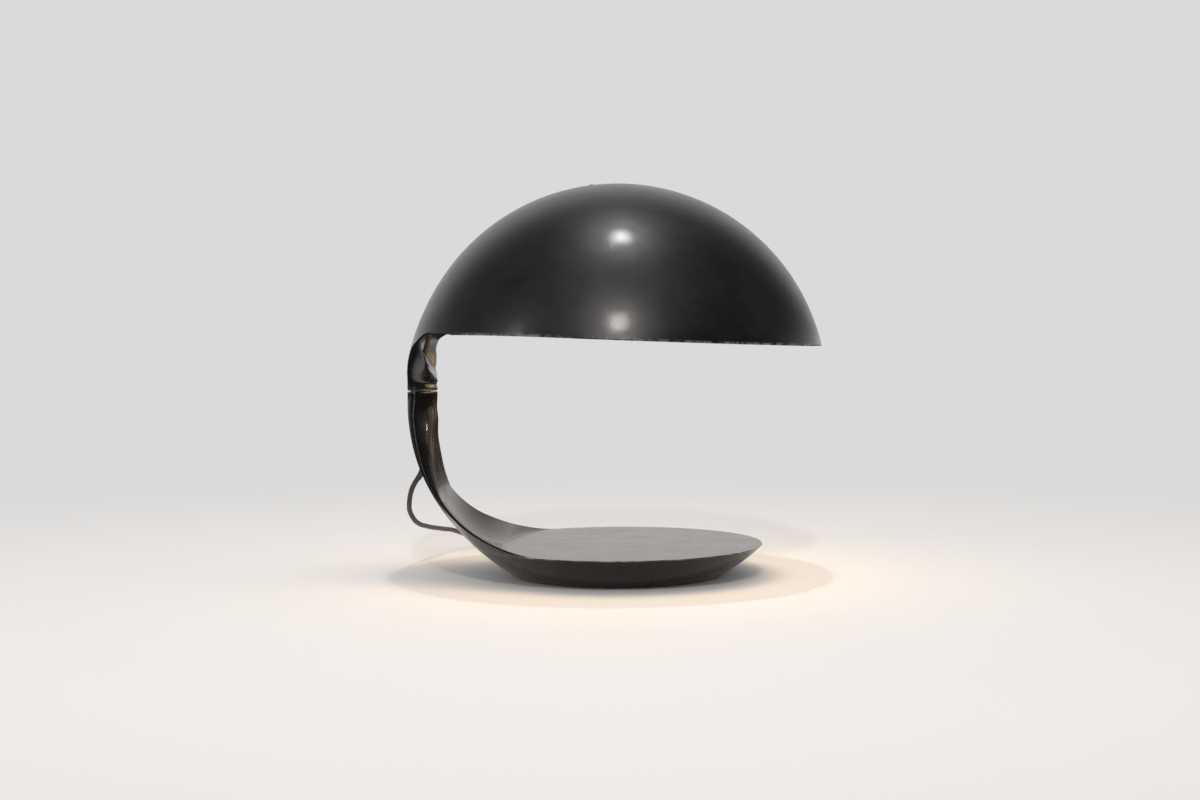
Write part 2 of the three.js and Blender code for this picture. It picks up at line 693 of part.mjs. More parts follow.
// Lampholder on its bracket under the top of the dome
const fitting = new THREE.Group();
fitting.position.set(screwX, 0, bulbHeight);
shade.add(fitting);
const tabTop = seatHeight - gap - bulbHeight;
const tabLow = tabTop - bracketThickness;
const legX = -12;
const bracketWidth = 18;
const legDrop = 16;
const nippleRadius = 5;
const nippleNutRadius = 7.5;
const bracketOutline = new THREE.Shape([
  new THREE.Vector2(legX, -legDrop),
  new THREE.Vector2(legX + bracketThickness, -legDrop),
  new THREE.Vector2(legX + bracketThickness, tabLow),
  new THREE.Vector2(-legX, tabLow),
  new THREE.Vector2(-legX, tabTop),
  new THREE.Vector2(legX, tabTop),
]);
const strip = new THREE.ExtrudeGeometry(bracketOutline, { depth: bracketWidth, bevelEnabled: false })
  .rotateX(Math.PI / 2).translate(0, bracketWidth / 2, 0);
add('lampholder_bracket', shaped(strip, [], [
  rod(bracketScrewRadius + holeClearance, tabLow - 1, tabTop + 1, 12),
  lying(rod(nippleRadius + gap, legX - 1, legX + bracketThickness + 1)),
]), steel, fitting);
const nutFlat = 2.75;
const nutTop = tabLow - gap;
const nutBottom = nutTop - 2.4;
add('bracket_screw', turned([
  [0, nutBottom - 3],
  [bracketScrewRadius, nutBottom - 3],
  [bracketScrewRadius, headSeat + gap - bulbHeight],
  [headRadius, headSeat + gap - bulbHeight],
  [headRadius, headSeat + gap + 0.9 - bulbHeight],
  [headRadius * 0.72, headSeat + gap + 1.6 - bulbHeight],
  [0, headSeat + gap + 1.8 - bulbHeight],
], 20), steel, fitting);
const hexRadius = (flat) => flat / Math.cos(Math.PI / 6);
add('bracket_nut', shaped(rod(hexRadius(nutFlat), nutBottom, nutTop, 6), [], [
  rod(bracketScrewRadius + gap, nutBottom - 1, nutTop + 1, 12),
]), nickel, fitting);
const holderBack = legX + bracketThickness + gap;
add('holder_nipple', lying(ringBody(tubeBore, nippleRadius, legX - 8, holderBack + 9)), steel, fitting);
add('nipple_nut', shaped(lying(rod(hexRadius(nippleNutRadius), legX - gap - 3, legX - gap, 6)), [], [
  lying(rod(nippleRadius + gap, legX - 5, legX + 1)),
]), nickel, fitting);
const holderRadius = 17;
const holderWall = 2.1;
const holderCapLength = 19;
const shellLength = 27;
const skirtInset = 10;
const skirtFlange = 4.5;
const capFront = holderBack + holderCapLength;
const shellFront = capFront + gap + shellLength;
const skirtBack = capFront + skirtInset;
add('holder_cap', lying(turned([
  [nippleRadius + gap, holderBack],
  [holderRadius - 4, holderBack],
  [holderRadius, holderBack + 8],
  [holderRadius, capFront],
  [holderRadius - holderWall - gap, capFront],
  [holderRadius - holderWall - gap, holderBack + 9],
  [nippleRadius + gap, holderBack + 5],
])), blackPlastic, fitting);
add('holder_shell', lying(turned([
  [holderRadius - holderWall, capFront + gap],
  [holderRadius, capFront + gap],
  [holderRadius, shellFront],
  [holderRadius - holderWall, shellFront],
])), blackPlastic, fitting);
add('holder_skirt', lying(turned([
  [holderRadius + gap, skirtBack],
  [holderRadius + skirtFlange - 1, skirtBack],
  [holderRadius + skirtFlange, skirtBack + 3],
  [holderRadius + skirtFlange / 2, shellFront - 1],
  [holderRadius + gap, shellFront - 1],
])), blackPlastic, fitting);
const insulatorFront = capFront + 2;
const screwSheet = 0.6;
add('holder_insulator', lying(turned([
  [4, insulatorFront - 4],
  [holderRadius - holderWall - 2 * gap, insulatorFront - 4],
  [holderRadius - holderWall - 2 * gap, insulatorFront],
  [4, insulatorFront],
])), porcelain, fitting);
add('centre_contact', lying(turned([
  [0, insulatorFront - 4.5],
  [3.6, insulatorFront - 4.5],
  [3.6, insulatorFront + 0.6],
  [2.4, insulatorFront + 1.6],
  [0, insulatorFront + 1.6],
], 20)), brass, fitting);
add('screw_shell', lying(turned([
  [holderRadius - holderWall - gap - screwSheet, insulatorFront + gap],
  [holderRadius - holderWall - gap, insulatorFront + gap],
  [holderRadius - holderWall - gap, shellFront - 2],
  [holderRadius - holderWall - gap - screwSheet, shellFront - 2],
])), brass, fitting);

// Bulb: a threaded cap and a pear of opal glass
const bulbBack = insulatorFront + 1.6 + gap;
const capLength = 24;
const threads = 3;
function bulbCap() {
  const profile = [[0, bulbBack], [4.5, bulbBack], [6, bulbBack + 2.5], [11.8, bulbBack + 4]];
  for (let k = 0; k < threads; k++) {
    const from = bulbBack + 5 + 4 * k;
    profile.push([12.2, from], [13.2, from + 1], [13.2, from + 2], [12.2, from + 3]);
  }
  profile.push([13.2, bulbBack + capLength], [0, bulbBack + capLength]);
  return turned(profile);
}
function bulbGlass() {
  const from = bulbBack + capLength + gap;
  const middle = bulbBack + bulbLength - bulbRadius;
  const profile = [[0, from], [13.4, from], [15, from + 8], [19.5, from + 20], [25.6, middle - 15.6]];
  for (let k = 0; k <= 9; k++) {
    const angle = degrees(-20 + (110 * k) / 9);
    profile.push([Math.max(bulbRadius * Math.cos(angle), 0), middle + bulbRadius * Math.sin(angle)]);
  }
  profile[profile.length - 1][0] = 0;
  return turned(profile);
}
add('bulb_cap', lying(bulbCap()), nickel, fitting);
add('bulb_glass', lying(bulbGlass()), glass, fitting);

// Diffuser across the mouth, its clips and their screws
const diffuserRadius = innerAtHeight(diffuserLow + diffuserThickness) - diffuserClearance;
const notchDepth = 20;
const notchWidth = 16;
const disc = rod(diffuserRadius, diffuserLow, diffuserLow + diffuserThickness, 48);
const notch = block(2 * notchDepth, notchWidth, 3 * diffuserThickness)
  .translate(-diffuserRadius, 0, diffuserLow);
add('diffuser', onRim(shaped(disc, [], [notch]), 0), opal, shade);
const clipSheet = 1.2;
const clipLedge = 10;
clipTurns.forEach((turn, k) => {
  const outer = clipBossFace - gap;
  const top = diffuserLow - gap;
  const outline = new THREE.Shape([
    new THREE.Vector2(outer, clipBossHeight - 4.6),
    new THREE.Vector2(outer, top),
    new THREE.Vector2(outer - clipLedge, top),
    new THREE.Vector2(outer - clipLedge, top - clipSheet),
    new THREE.Vector2(outer - clipSheet, top - clipSheet),
    new THREE.Vector2(outer - clipSheet, clipBossHeight - 4.6),
  ]);
  const bent = new THREE.ExtrudeGeometry(outline, { depth: 10, bevelEnabled: false })
    .rotateX(Math.PI / 2).translate(0, 5, 0);
  const hole = lying(rod(clipScrewRadius + holeClearance, outer - 4, outer + 2, 12))
    .translate(0, 0, clipBossHeight);
  add(`diffuser_clip_${k + 1}`, onRim(shaped(bent, [], [hole]), turn), nickel, shade);
});
clipTurns.forEach((turn, k) => {
  const seat = clipBossFace - gap - clipSheet - gap;
  const screw = turned([
    [0, seat - 1.6],
    [2.4, seat - 1.6],
    [2.4, seat],
    [clipScrewRadius, seat],
    [clipScrewRadius, clipBossFace + 6],
    [0, clipBossFace + 6],
  ], 12);
  add(`clip_screw_${k + 1}`, onRim(lying(screw).translate(0, 0, clipBossHeight), turn), steel, shade);
});

// Lead inside the lamp: it is twisted at the seam when the shade turns, so it has a part on each side
const leadRadius = 2.4;
const leadInset = 7.5;
const saddleAngles = [27, 33];
const saddleLength = 9;
const saddleWidth = 12;
const saddleFloor = 1.6;
const underDome = (angle, inset) => vector(-(innerSphere - inset) * Math.cos(degrees(angle)), 0,
  sphereHeight + (innerSphere - inset) * Math.sin(degrees(angle)));
const upperLeadPath = [
  vector(neckX, 0, seamHeight + gap / 2),
  vector(neckX, 0, seamHeight + 12),
  vector(neckX, 0, seamHeight + 22),
  vector(neckX + 1.5, 0, seamHeight + 34),
  underDome(15.5, leadInset + 0.5),
  underDome(21, leadInset),
  ...saddleAngles.map((angle) => underDome(angle, leadInset)),
  underDome(40, leadInset + 3),
  underDome(48, leadInset + 14),
  underDome(55, leadInset + 34),
  vector(screwX - 52, 0, bulbHeight + 10),
  vector(screwX - 32, 0, bulbHeight + 1),
  vector(screwX + legX - 6, 0, bulbHeight),
  vector(screwX + holderBack + 4, 0, bulbHeight),
];
add('lead_upper', tubeAlong(upperLeadPath, leadRadius, 30, 6), rubber, shade);
const reliefTop = 125.7;
add('lead_lower', rod(leadRadius, reliefTop + gap, seamHeight - gap / 2, 8).translate(neckX, 0, 0), rubber);

// Saddles that hold the lead to the inside of the dome
function saddle(angle) {
  const outward = degrees(angle - 90);
  const from = innerSphere - leadInset;
  const top = innerSphere - gap - facetAllowance;
  const low = from - leadRadius - saddleFloor;
  const body = block(saddleLength, saddleWidth, top - low).translate(0, 0, (top + low) / 2);
  const hole = lying(rod(leadRadius + 2 * gap, -saddleLength, saddleLength, 12)).translate(0, 0, from);
  return shaped(body, [], [hole]).rotateY(outward).translate(0, 0, sphereHeight);
}
saddleAngles.forEach((at, k) => add(`lead_saddle_${k + 1}`, saddle(at), blackPlastic, shade));

// Free cord: strain relief, three stretches, switch, coil and plug
const coilLow = tieThickness + gap + cordRadius;
const reliefLength = 32;
const switchLevel = switchHeight / 2;
const switchLeft = switchX - switchLength / 2;
const switchRight = switchX + switchLength / 2;
const firstRoute = new THREE.CatmullRomCurve3([
  vector(neckX, 0, reliefTop),
  vector(neckX, 0, 112),
  vector(-195.3, 0.6, 104.5),
  vector(-198.4, 3.5, 99.2),
  vector(-202.9, 7, 93.4),
  vector(-207.2, 11.6, 86.4),
  vector(-210.4, 18.5, 78.9),
  vector(-213.1, 29, 69.4),
  vector(-214.9, 44, 59.2),
  vector(-212.8, 64, 47.7),
  vector(-209.6, 84, 41),
  vector(-205.9, 103, 37.1),
  vector(-202, 122, 33.5),
  vector(-198, 141, 30.6),
  vector(-193.7, 159, 27.6),
  vector(-189.2, 176, 25.1),
  vector(-185.6, 190, 22.2),
  vector(-179.5, 206, 17.6),
  vector(-170, 219, 12),
  vector(-157, 228, 6.6),
  vector(-143, 232, 3.6),
  vector(-130, 232.7, 4.4),
  vector(switchLeft - 7, switchY, switchLevel),
  vector(switchLeft - gap, switchY, switchLevel),
], false, 'centripetal');
add('cord_relief', reliefBody(), rubber);
const firstRun = new Stretch(firstRoute, reliefLength + gap, firstRoute.getLength());
add('cord_run_1', tubeAlong(firstRun, cordRadius, 32, 8), rubber);
const secondRun = [
  vector(switchRight + gap, switchY, switchLevel),
  vector(switchRight + 4, switchY, switchLevel),
  vector(switchRight + 15, switchY, 5.2),
  vector(switchRight + 28, switchY, 3),
  vector(coilX - 2 * cordRadius - 8, switchY, coilLow),
  vector(coilX - 2 * cordRadius - gap, switchY, coilLow),
];
add('cord_run_2', tubeAlong(secondRun, cordRadius, 7, 8), rubber);

// A tapered sleeve round the cord where it leaves the neck
function reliefBody() {
  const path = new Stretch(firstRoute, 0, reliefLength);
  const sides = 12;
  const steps = 8;
  const rings = [];
  for (let k = 0; k <= steps; k++) {
    const at = path.getPointAt(k / steps);
    const along = path.getTangentAt(k / steps);
    const side = new THREE.Vector3(0, 1, 0).cross(along).normalize();
    const lift = along.clone().cross(side);
    const radius = THREE.MathUtils.lerp(cordBore - gap, cordRadius + 0.45, smooth(0.35, 1, k / steps));
    rings.push(Array.from({ length: sides }, (_, i) => {
      const angle = (2 * Math.PI * i) / sides;
      return at.clone().addScaledVector(side, radius * Math.cos(angle))
        .addScaledVector(lift, radius * Math.sin(angle));
    }));
  }
  rings.push(rings[steps].map(() => path.getPointAt(1)));
  return loft(rings);
}

// The coil: in along the table, up in half a turn, and out again on top
const coilCentreLine = [];
function coilPoints() {
  const inner = coilRadius - coilTurns * coilPitch;
  const total = 2 * coilTurns + 0.5;
  const at = (turn) => {
    let radius = coilRadius - turn * coilPitch;
    let height = coilLow;
    if (turn > coilTurns) {
      const climb = Math.min((turn - coilTurns) / 0.5, 1);
      radius = inner - coilPitch * Math.min(climb, 1 - climb) / 2;
      height = coilLow + coilLayer * (3 * climb ** 2 - 2 * climb ** 3);
    }
    if (turn > coilTurns + 0.5) radius = inner + (turn - coilTurns - 0.5) * coilPitch;
    const angle = Math.PI / 2 - 2 * Math.PI * turn;
    return vector(coilX + radius * Math.cos(angle), coilY + radius * Math.sin(angle), height);
  };
  coilCentreLine.push(vector(coilX - 2 * cordRadius, coilY + coilRadius, coilLow));
  for (let k = 0; k <= total * coilSteps; k++) coilCentreLine.push(at(k / coilSteps));
  coilCentreLine.push(vector(coilX + 2 * cordRadius, coilY + coilRadius, coilLow + coilLayer));
}
coilPoints();

function coilBody() {
  const sides = 6;
  const rings = coilCentreLine.map((at, k) => {
    const before = coilCentreLine[Math.max(k - 1, 0)];
    const after = coilCentreLine[Math.min(k + 1, coilCentreLine.length - 1)];
    const along = after.clone().sub(before).normalize();
    const ends = k === 0 || k === coilCentreLine.length - 1;
    if (ends) along.set(1, 0, 0);
    const side = new THREE.Vector3(0, 0, 1).cross(along).normalize();
    const lift = along.clone().cross(side);
    return Array.from({ length: sides }, (_, i) => {
      const angle = (2 * Math.PI * (i + 0.5)) / sides;
      return at.clone().addScaledVector(side, cordRadius * Math.cos(angle))
        .addScaledVector(lift, cordRadius * Math.sin(angle));
    });
  });
  const last = rings[rings.length - 1];
  const end = last.reduce((sum, p) => sum.add(p), new THREE.Vector3()).divideScalar(sides);
  return loft([...rings, last.map(() => end.clone())]);
}
add('cord_coil', coilBody(), rubber);

// The least gap between the coil's turns, from its centre line
let leastGap = Infinity;
for (let i = 0; i < coilCentreLine.length; i++) {
  for (let j = i + coilSteps / 2; j < coilCentreLine.length; j++) {
    leastGap = Math.min(leastGap, coilCentreLine[i].distanceTo(coilCentreLine[j]) - 2 * cordRadius);
  }
}
console.log('least gap of the coil to itself, mm:', leastGap.toFixed(2));

const coilTop = coilLow + coilLayer;
const plugLevel = plugHeight / 2;
const plugBack = plugY + plugLength / 2;
const thirdRun = [
  vector(coilX + 2 * cordRadius + gap, switchY, coilTop),
  vector(coilX + 2 * cordRadius + 4, switchY, coilTop),
  vector(coilX + 20, switchY - 0.6, 7),
  vector(coilX + 34, switchY - 3.5, 5),
  vector(coilX + 49, switchY - 10, 4.2),
  vector(coilX + 60, switchY - 19, 5.2),
  vector(plugX, plugBack + 6, plugLevel),
  vector(plugX, plugBack + gap, plugLevel),
];
add('cord_run_3', tubeAlong(thirdRun, cordRadius, 10, 8), rubber);

// The tie: a band round all turns on the side of the coil away from the cord's ends
const tieGap = 0.4;
const tieInner = coilRadius - (coilTurns + 0.25) * coilPitch - cordRadius - 2 * tieGap;
const tieOuter = coilRadius + cordRadius + tieGap;
const tieTop = coilTop + cordRadius + tieGap;
const tieBand = block(tieOuter - tieInner + 2 * tieThickness, 6, tieTop + tieThickness)
  .translate((tieOuter + tieInner) / 2, 0, (tieTop + tieThickness) / 2);
const tieHole = block(tieOuter - tieInner, 8, tieTop - tieThickness)
  .translate((tieOuter + tieInner) / 2, 0, (tieTop + tieThickness) / 2);
const tieSpot = -Math.PI / 4;
add('coil_tie', shaped(tieBand, [], [tieHole]).rotateZ(tieSpot).translate(coilX, coilY, 0), blackPlastic);

// Switch on the cord: two shells, a rocker on its pin that is pressed down on its +X side, a contact, screws
const inline = new THREE.Group();
inline.position.set(switchX, switchY, 0);
lamp.add(inline);
function rounded(length, width, low, high, bevel) {
  const [a, b] = [length / 2 - bevel, width / 2 - bevel];
  const corner = Math.min(b, 7);
  const outline = new THREE.Shape();
  outline.moveTo(-a + corner, -b);
  outline.lineTo(a - corner, -b);
  outline.absarc(a - corner, -b + corner, corner, -Math.PI / 2, 0, false);
  outline.lineTo(a, b - corner);
  outline.absarc(a - corner, b - corner, corner, 0, Math.PI / 2, false);
  outline.lineTo(-a + corner, b);
  outline.absarc(-a + corner, b - corner, corner, Math.PI / 2, Math.PI, false);
  outline.lineTo(-a, -b + corner);
  outline.absarc(-a + corner, -b + corner, corner, Math.PI, 1.5 * Math.PI, false);
  const body = new THREE.ExtrudeGeometry(outline, {
    depth: high - low - 2 * bevel, bevelEnabled: true, bevelSize: bevel, bevelThickness: bevel,
    bevelSegments: 1, curveSegments: 3,
  });
  return body.translate(0, 0, low + bevel);
}
const shellSplit = switchLevel;
const rockerLength = 20;
const rockerWidth = 10;
const rockerTilt = 7;
const rockerPivot = switchHeight - 4.5;
const switchRoom = block(30, 17, switchHeight - 5).translate(0, 0, switchLevel - 0.2);
const rockerHole = block(rockerLength + 2.4, rockerWidth + 1.2, 8).translate(0, 0, switchHeight);
const throughHole = rod(1.6, -1, switchHeight + 1, 12);
const lowerShell = rounded(switchLength, switchWidth, 0, shellSplit - gap / 2, 1.2);
const upperShell = rounded(switchLength, switchWidth, shellSplit + gap / 2, switchHeight, 1.2);
const screwSpots = [-switchLength / 2 + 12, switchLength / 2 - 12];
const switchHoles = screwSpots.map((x) => throughHole.clone().translate(x, 0, 0));
const headHoles = screwSpots.map((x) => rod(3, -1, 2.2, 16).translate(x, 0, 0));
add('switch_lower', shaped(lowerShell, [], [switchRoom, ...switchHoles, ...headHoles]), blackPlastic, inline);
const pinHole = rod(1.3, -11, 11, 12).rotateX(Math.PI / 2).translate(0, 0, rockerPivot);
const upperHoles = screwSpots.map((x) => rod(1.6, 0, switchHeight - 2, 12).translate(x, 0, 0));
const upperCuts = [switchRoom, rockerHole, pinHole, ...upperHoles];
add('switch_upper', shaped(upperShell, [], upperCuts), blackPlastic, inline);
add('rocker_pin', rod(1, -10.5, 10.5, 12).rotateX(Math.PI / 2).translate(0, 0, rockerPivot), steel, inline);
const rockerShape = new THREE.Shape();
rockerShape.moveTo(-rockerLength / 2, -1.5);
rockerShape.lineTo(rockerLength / 2, -1.5);
rockerShape.lineTo(rockerLength / 2, 5.6);
rockerShape.quadraticCurveTo(0, 3.4, -rockerLength / 2, 5.6);
const rockerBody = new THREE.ExtrudeGeometry(rockerShape, {
  depth: rockerWidth, bevelEnabled: false, curveSegments: 6,
}).rotateX(Math.PI / 2).translate(0, rockerWidth / 2, 0);
const rockerBore = rod(1.3, -8, 8, 12).rotateX(Math.PI / 2);
const rocker = add('switch_rocker', shaped(rockerBody, [], [rockerBore]), blackPlastic, inline);
rocker.position.set(0, 0, rockerPivot);
rocker.rotation.y = degrees(rockerTilt);
add('switch_contact', block(16, 6, 0.8).translate(0, 0, 3.4), brass, inline);
screwSpots.forEach((x, k) => add(`switch_screw_${k + 1}`, turned([
  [0, 0.5],
  [2.6, 0.5],
  [2.6, 1.9],
  [1.3, 1.9],
  [1.3, switchHeight - 2.6],
  [0, switchHeight - 2.6],
], 12).translate(x, 0, 0), steel, inline));

// Plug: a flat two-pin body that lies beside the coil
const plug = new THREE.Group();
plug.position.set(plugX, plugY, 0);
lamp.add(plug);
const plugFront = -plugLength / 2;
const plugOutline = new THREE.Shape([
  new THREE.Vector2(-plugWidth / 2, plugFront),
  new THREE.Vector2(plugWidth / 2, plugFront),
  new THREE.Vector2(plugWidth / 2, plugFront + 12),
  new THREE.Vector2(5.4, plugLength / 2 - 10),
  new THREE.Vector2(4.2, plugLength / 2),
  new THREE.Vector2(-4.2, plugLength / 2),
  new THREE.Vector2(-5.4, plugLength / 2 - 10),
  new THREE.Vector2(-plugWidth / 2, plugFront + 12),
]);
const pinSpacing = 19;
const pinLength = 19;
const plugPinRadius = 2;
const plugBody = new THREE.ExtrudeGeometry(plugOutline, {
  depth: plugHeight - 2.4, bevelEnabled: true, bevelThickness: 1.2, bevelSize: 1, bevelOffset: -1,
  bevelSegments: 1,
}).translate(0, 0, 1.2);
add('plug_body', plugBody, blackPlastic, plug);
[-1, 1].forEach((side, k) => add(`plug_pin_${k + 1}`, rod(plugPinRadius, -pinLength, 0, 14)
  .rotateX(-Math.PI / 2).translate((side * pinSpacing) / 2, plugFront - gap, plugLevel), nickel, plug));

export default lamp;
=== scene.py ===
# Desk lamp with a domed shade on a curved foot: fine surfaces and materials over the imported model.
import json
from math import acos, asin, atan, atan2, cos, hypot, inf, pi, radians, sin, sqrt, tau

import bmesh
import bpy
from mathutils import Matrix, Vector


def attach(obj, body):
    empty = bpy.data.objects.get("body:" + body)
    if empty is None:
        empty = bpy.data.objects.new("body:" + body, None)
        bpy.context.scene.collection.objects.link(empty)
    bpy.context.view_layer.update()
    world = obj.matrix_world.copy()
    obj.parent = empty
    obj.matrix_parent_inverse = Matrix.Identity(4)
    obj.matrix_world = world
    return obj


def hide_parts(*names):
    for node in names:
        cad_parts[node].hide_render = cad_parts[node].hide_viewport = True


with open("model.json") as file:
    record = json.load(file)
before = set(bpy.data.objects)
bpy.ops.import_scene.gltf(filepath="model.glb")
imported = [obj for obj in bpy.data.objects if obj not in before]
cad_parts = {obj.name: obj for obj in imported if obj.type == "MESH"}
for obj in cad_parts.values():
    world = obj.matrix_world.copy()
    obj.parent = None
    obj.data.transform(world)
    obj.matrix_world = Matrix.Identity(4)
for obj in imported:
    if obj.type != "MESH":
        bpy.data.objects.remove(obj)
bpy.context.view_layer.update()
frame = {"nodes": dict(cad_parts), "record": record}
cad = frame["nodes"]
MM = 0.001

# Camera at the photograph's viewing angle
PITCH, ROLL, YAW = 0.0443, 0.0072, -0.0386
CAMERA_PLACE = Vector((0.05438, -1.8564, 0.25627))
CAMERA_LENS = 56.09


scene = bpy.context.scene


def placed(name, data):
    obj = bpy.data.objects.new(name, data)
    scene.collection.objects.link(obj)
    return obj


def make_camera():
    data = bpy.data.cameras.new("camera")
    data.lens = CAMERA_LENS
    data.sensor_width = 36
    forward = Vector((sin(YAW) * cos(PITCH), cos(YAW) * cos(PITCH), -sin(PITCH)))
    level = Vector((cos(YAW), -sin(YAW), 0))
    upright = level.cross(forward)
    right = level * cos(ROLL) - upright * sin(ROLL)
    up = level * sin(ROLL) + upright * cos(ROLL)
    camera = placed("camera", data)
    rows = [(right[i], up[i], -forward[i], CAMERA_PLACE[i]) for i in range(3)]
    camera.matrix_world = Matrix((*rows, (0, 0, 0, 1)))
    scene.camera = camera


make_camera()

# Sizes shared with the solids, in millimetres
SPHERE = 207.2
SPHERE_Z = SPHERE - 26.6
WALL = 3.2
INNER = SPHERE - WALL
FOOT_Z, DECK_Z = 0.4, 31.4
RIM_TRIM = 0.7
FLARE_R, FLARE_X = 198, 83
NECK_R, NECK_IN = 14.95, 12.7
NECK_X = NECK_IN - SPHERE
SEAM_Z, SEAM_GAP = SPHERE_Z + 3.4, 1
LOWER_TOP, UPPER_BOTTOM = SEAM_Z - SEAM_GAP / 2, SEAM_Z + SEAM_GAP / 2
UPPER_ROUND, LOWER_ROUND = 1.4, 0.5
FAN_Z = LOWER_TOP - LOWER_ROUND
RIM_Z, RIM_SLOPE, RIM_DIP = SPHERE_Z + 55.6, 0.043, 1.7
LOWER_FAN_X, UPPER_FAN_X, DOME_FAN_Z = NECK_X + 122.5, NECK_X + 44.5, SPHERE_Z - 280.6
GAP = 0.3
CORD_R = 2.5
COIL_X, COIL_Y, COIL_R = 28, 193.7, 39
COIL_TURNS, COIL_PITCH, COIL_LAYER = 3.25, 5.6, 5.7
COIL_Z = 0.6 + GAP + CORD_R
SWITCH = Vector((-75, COIL_Y + COIL_R, 0))
SWITCH_SIZE = Vector((64, 25, 15))
PLUG = Vector((94, 181, 0))
PLUG_SIZE = Vector((26, 36, 13.6))
PLUG_Z = PLUG_SIZE.z / 2
RELIEF_TOP, RELIEF_LENGTH = 125.7, 32
SCREW_X = -24
SEAT_Z = SPHERE_Z + sqrt(INNER ** 2 - SCREW_X ** 2) - 4.2
BULB_Z = SEAT_Z - 77
RIM_TILT = atan(RIM_SLOPE)
DIFFUSER_LOW = (RIM_Z - SPHERE_Z) * cos(RIM_TILT) + 12
DIFFUSER_T = 3
DIFFUSER_R = sqrt(INNER ** 2 - (DIFFUSER_LOW + DIFFUSER_T) ** 2) - 3
CLIP_Z = DIFFUSER_LOW - 7
CLIP_FACE = sqrt(INNER ** 2 - CLIP_Z ** 2) - 7
PLATE_R = sqrt(SPHERE ** 2 - (SPHERE_Z - FOOT_Z) ** 2) - 5.3
CAVITY_R, CAVITY_TOP = PLATE_R - 2, DECK_Z - 6
BOSS_CIRCLE = PLATE_R - 10
PLATE_LOW, PLATE_TOP, BALLAST_TOP = 1.8, 3.3, 17.6

# Turns of the fans, in degrees, by which the round of the neck has gone, and between which the lips fade
LOWER_ROUND_END, UPPER_ROUND_END = 11, 16
LIP_START, LIP_END = 6, 30

# Curved foot: fan angle, half width, lip radius, thickness in the middle, swell of the back
LOWER_STATIONS = [
    (0, NECK_R, NECK_R, 2 * NECK_R, NECK_R - NECK_IN), (7, 16.3, 11, 28.5, 2.3), (13, 19.2, 10.2, 28, 2.3),
    (22, 27.2, 9, 23.7, 2.3), (30, 35.8, 6.7, 20, 2.2), (38, 43.7, 4.2, 15, 1.9),
    (43, 48.6, 2.7, 12, 1.6), (50, 58.6, 1.7, 8.2, 1), (58, 70.7, 1.3, 6.5, 0.4),
    (66, 85.5, 1.1, 8.5, 0.1), (73, 97.6, 0.9, 15.8, 0), (79, 107.4, 0.8, 22.6, 0),
    (90, 123.5, 0.6, 36.1, 0),
]
# Shade: fan angle, half width, lip radius, thickness over the wall, swell of the back
UPPER_STATIONS = [
    (0, NECK_R, NECK_R, 2 * NECK_R - WALL, NECK_R - NECK_IN), (8, 16.2, 10.8, 25.6, 2.4),
    (17, 21, 11.2, 27.2, 2.6), (25, 29, 12.8, 25.2, 2.7), (34, 39.8, 12.9, 13, 2.5),
    (41, 50.5, 10.3, 6.4, 2.2), (49, 64, 4, 2.5, 1.7), (55, 72.5, 1.9, 0.9, 1.2),
    (61, 82.6, 1.7, 0.4, 0.8), (72, 104.5, 1.6, 0, 0.3), (81, 118, 1.6, 0, 0),
]


def smooth(low, high, at):
    t = min(max((at - low) / (high - low), 0), 1)
    return t * t * (3 - 2 * t)


def between(stations, column, at):
    """Values between given stations, smooth and without overshoot."""
    xs = [row[0] for row in stations]
    ys = [row[column] for row in stations]
    k = 0
    while k < len(xs) - 2 and at > xs[k + 1]:
        k += 1

    def slope(i):
        return (ys[i + 1] - ys[i]) / (xs[i + 1] - xs[i])

    def tangent(i):
        if i == 0:
            return slope(0)
        if i == len(xs) - 1:
            return slope(i - 1)
        before, after = slope(i - 1), slope(i)
        return 0 if before * after <= 0 else 2 * before * after / (before + after)

    width = xs[k + 1] - xs[k]
    t = min(max((at - xs[k]) / width, 0), 1)
    ends = ys[k] * (1 + 2 * t) * (1 - t) ** 2 + ys[k + 1] * t * t * (3 - 2 * t)
    return ends + width * (tangent(k) * t * (1 - t) ** 2 - tangent(k + 1) * t * t * (1 - t))


class Plane:
    """A plane that holds a line along Y through (x, z) and points along an angle in the XZ plane."""

    def __init__(self, x, z, angle):
        self.x, self.z = x, z
        self.dx, self.dz = cos(angle), sin(angle)
        self.middle = -x * self.dx + (SPHERE_Z - z) * self.dz
        self.offset = x * self.dz + (SPHERE_Z - z) * self.dx

    def reach(self, radius):
        return sqrt(max(radius ** 2 - self.offset ** 2, 0))

    def spot(self, along, y):
        return Vector((self.x + self.dx * along, y, self.z + self.dz * along))


def steps_to(stops, counts):
    """Half of a row of angles: even steps between stops, closing up towards the last one."""
    found, start = [0], 0
    for i, (stop, count) in enumerate(zip(stops, counts)):
        for k in range(1, count + 1):
            t = k / count
            last = i == len(stops) - 1
            found.append(start + (stop - start) * (sin(t * pi / 2) if last else t))
        start = stop
    return found


def ring_of(plane, edge, outer_half, inner_half, outer_at, inner_at, roundness):
    def point(angle, radius, side, away):
        flat = plane.spot(plane.middle + radius * cos(angle), radius * sin(angle))
        if roundness <= 0:
            return flat
        depth = away * NECK_R * sqrt(max(1 - side * side, 0))
        neck = plane.spot((NECK_X - plane.x) / plane.dx + depth, NECK_R * side)
        return flat.lerp(neck, roundness)

    def mirrored(half):
        return [-a for a in reversed(half[1:])] + half

    outer = [point(a, outer_at(abs(a)), a / edge if edge else 0, 1) for a in mirrored(outer_half)]
    back = list(reversed(mirrored(inner_half)))[1:-1]
    inner = [point(a, inner_at(abs(a)), a / edge if edge else 0, -1) for a in back]
    return outer + inner


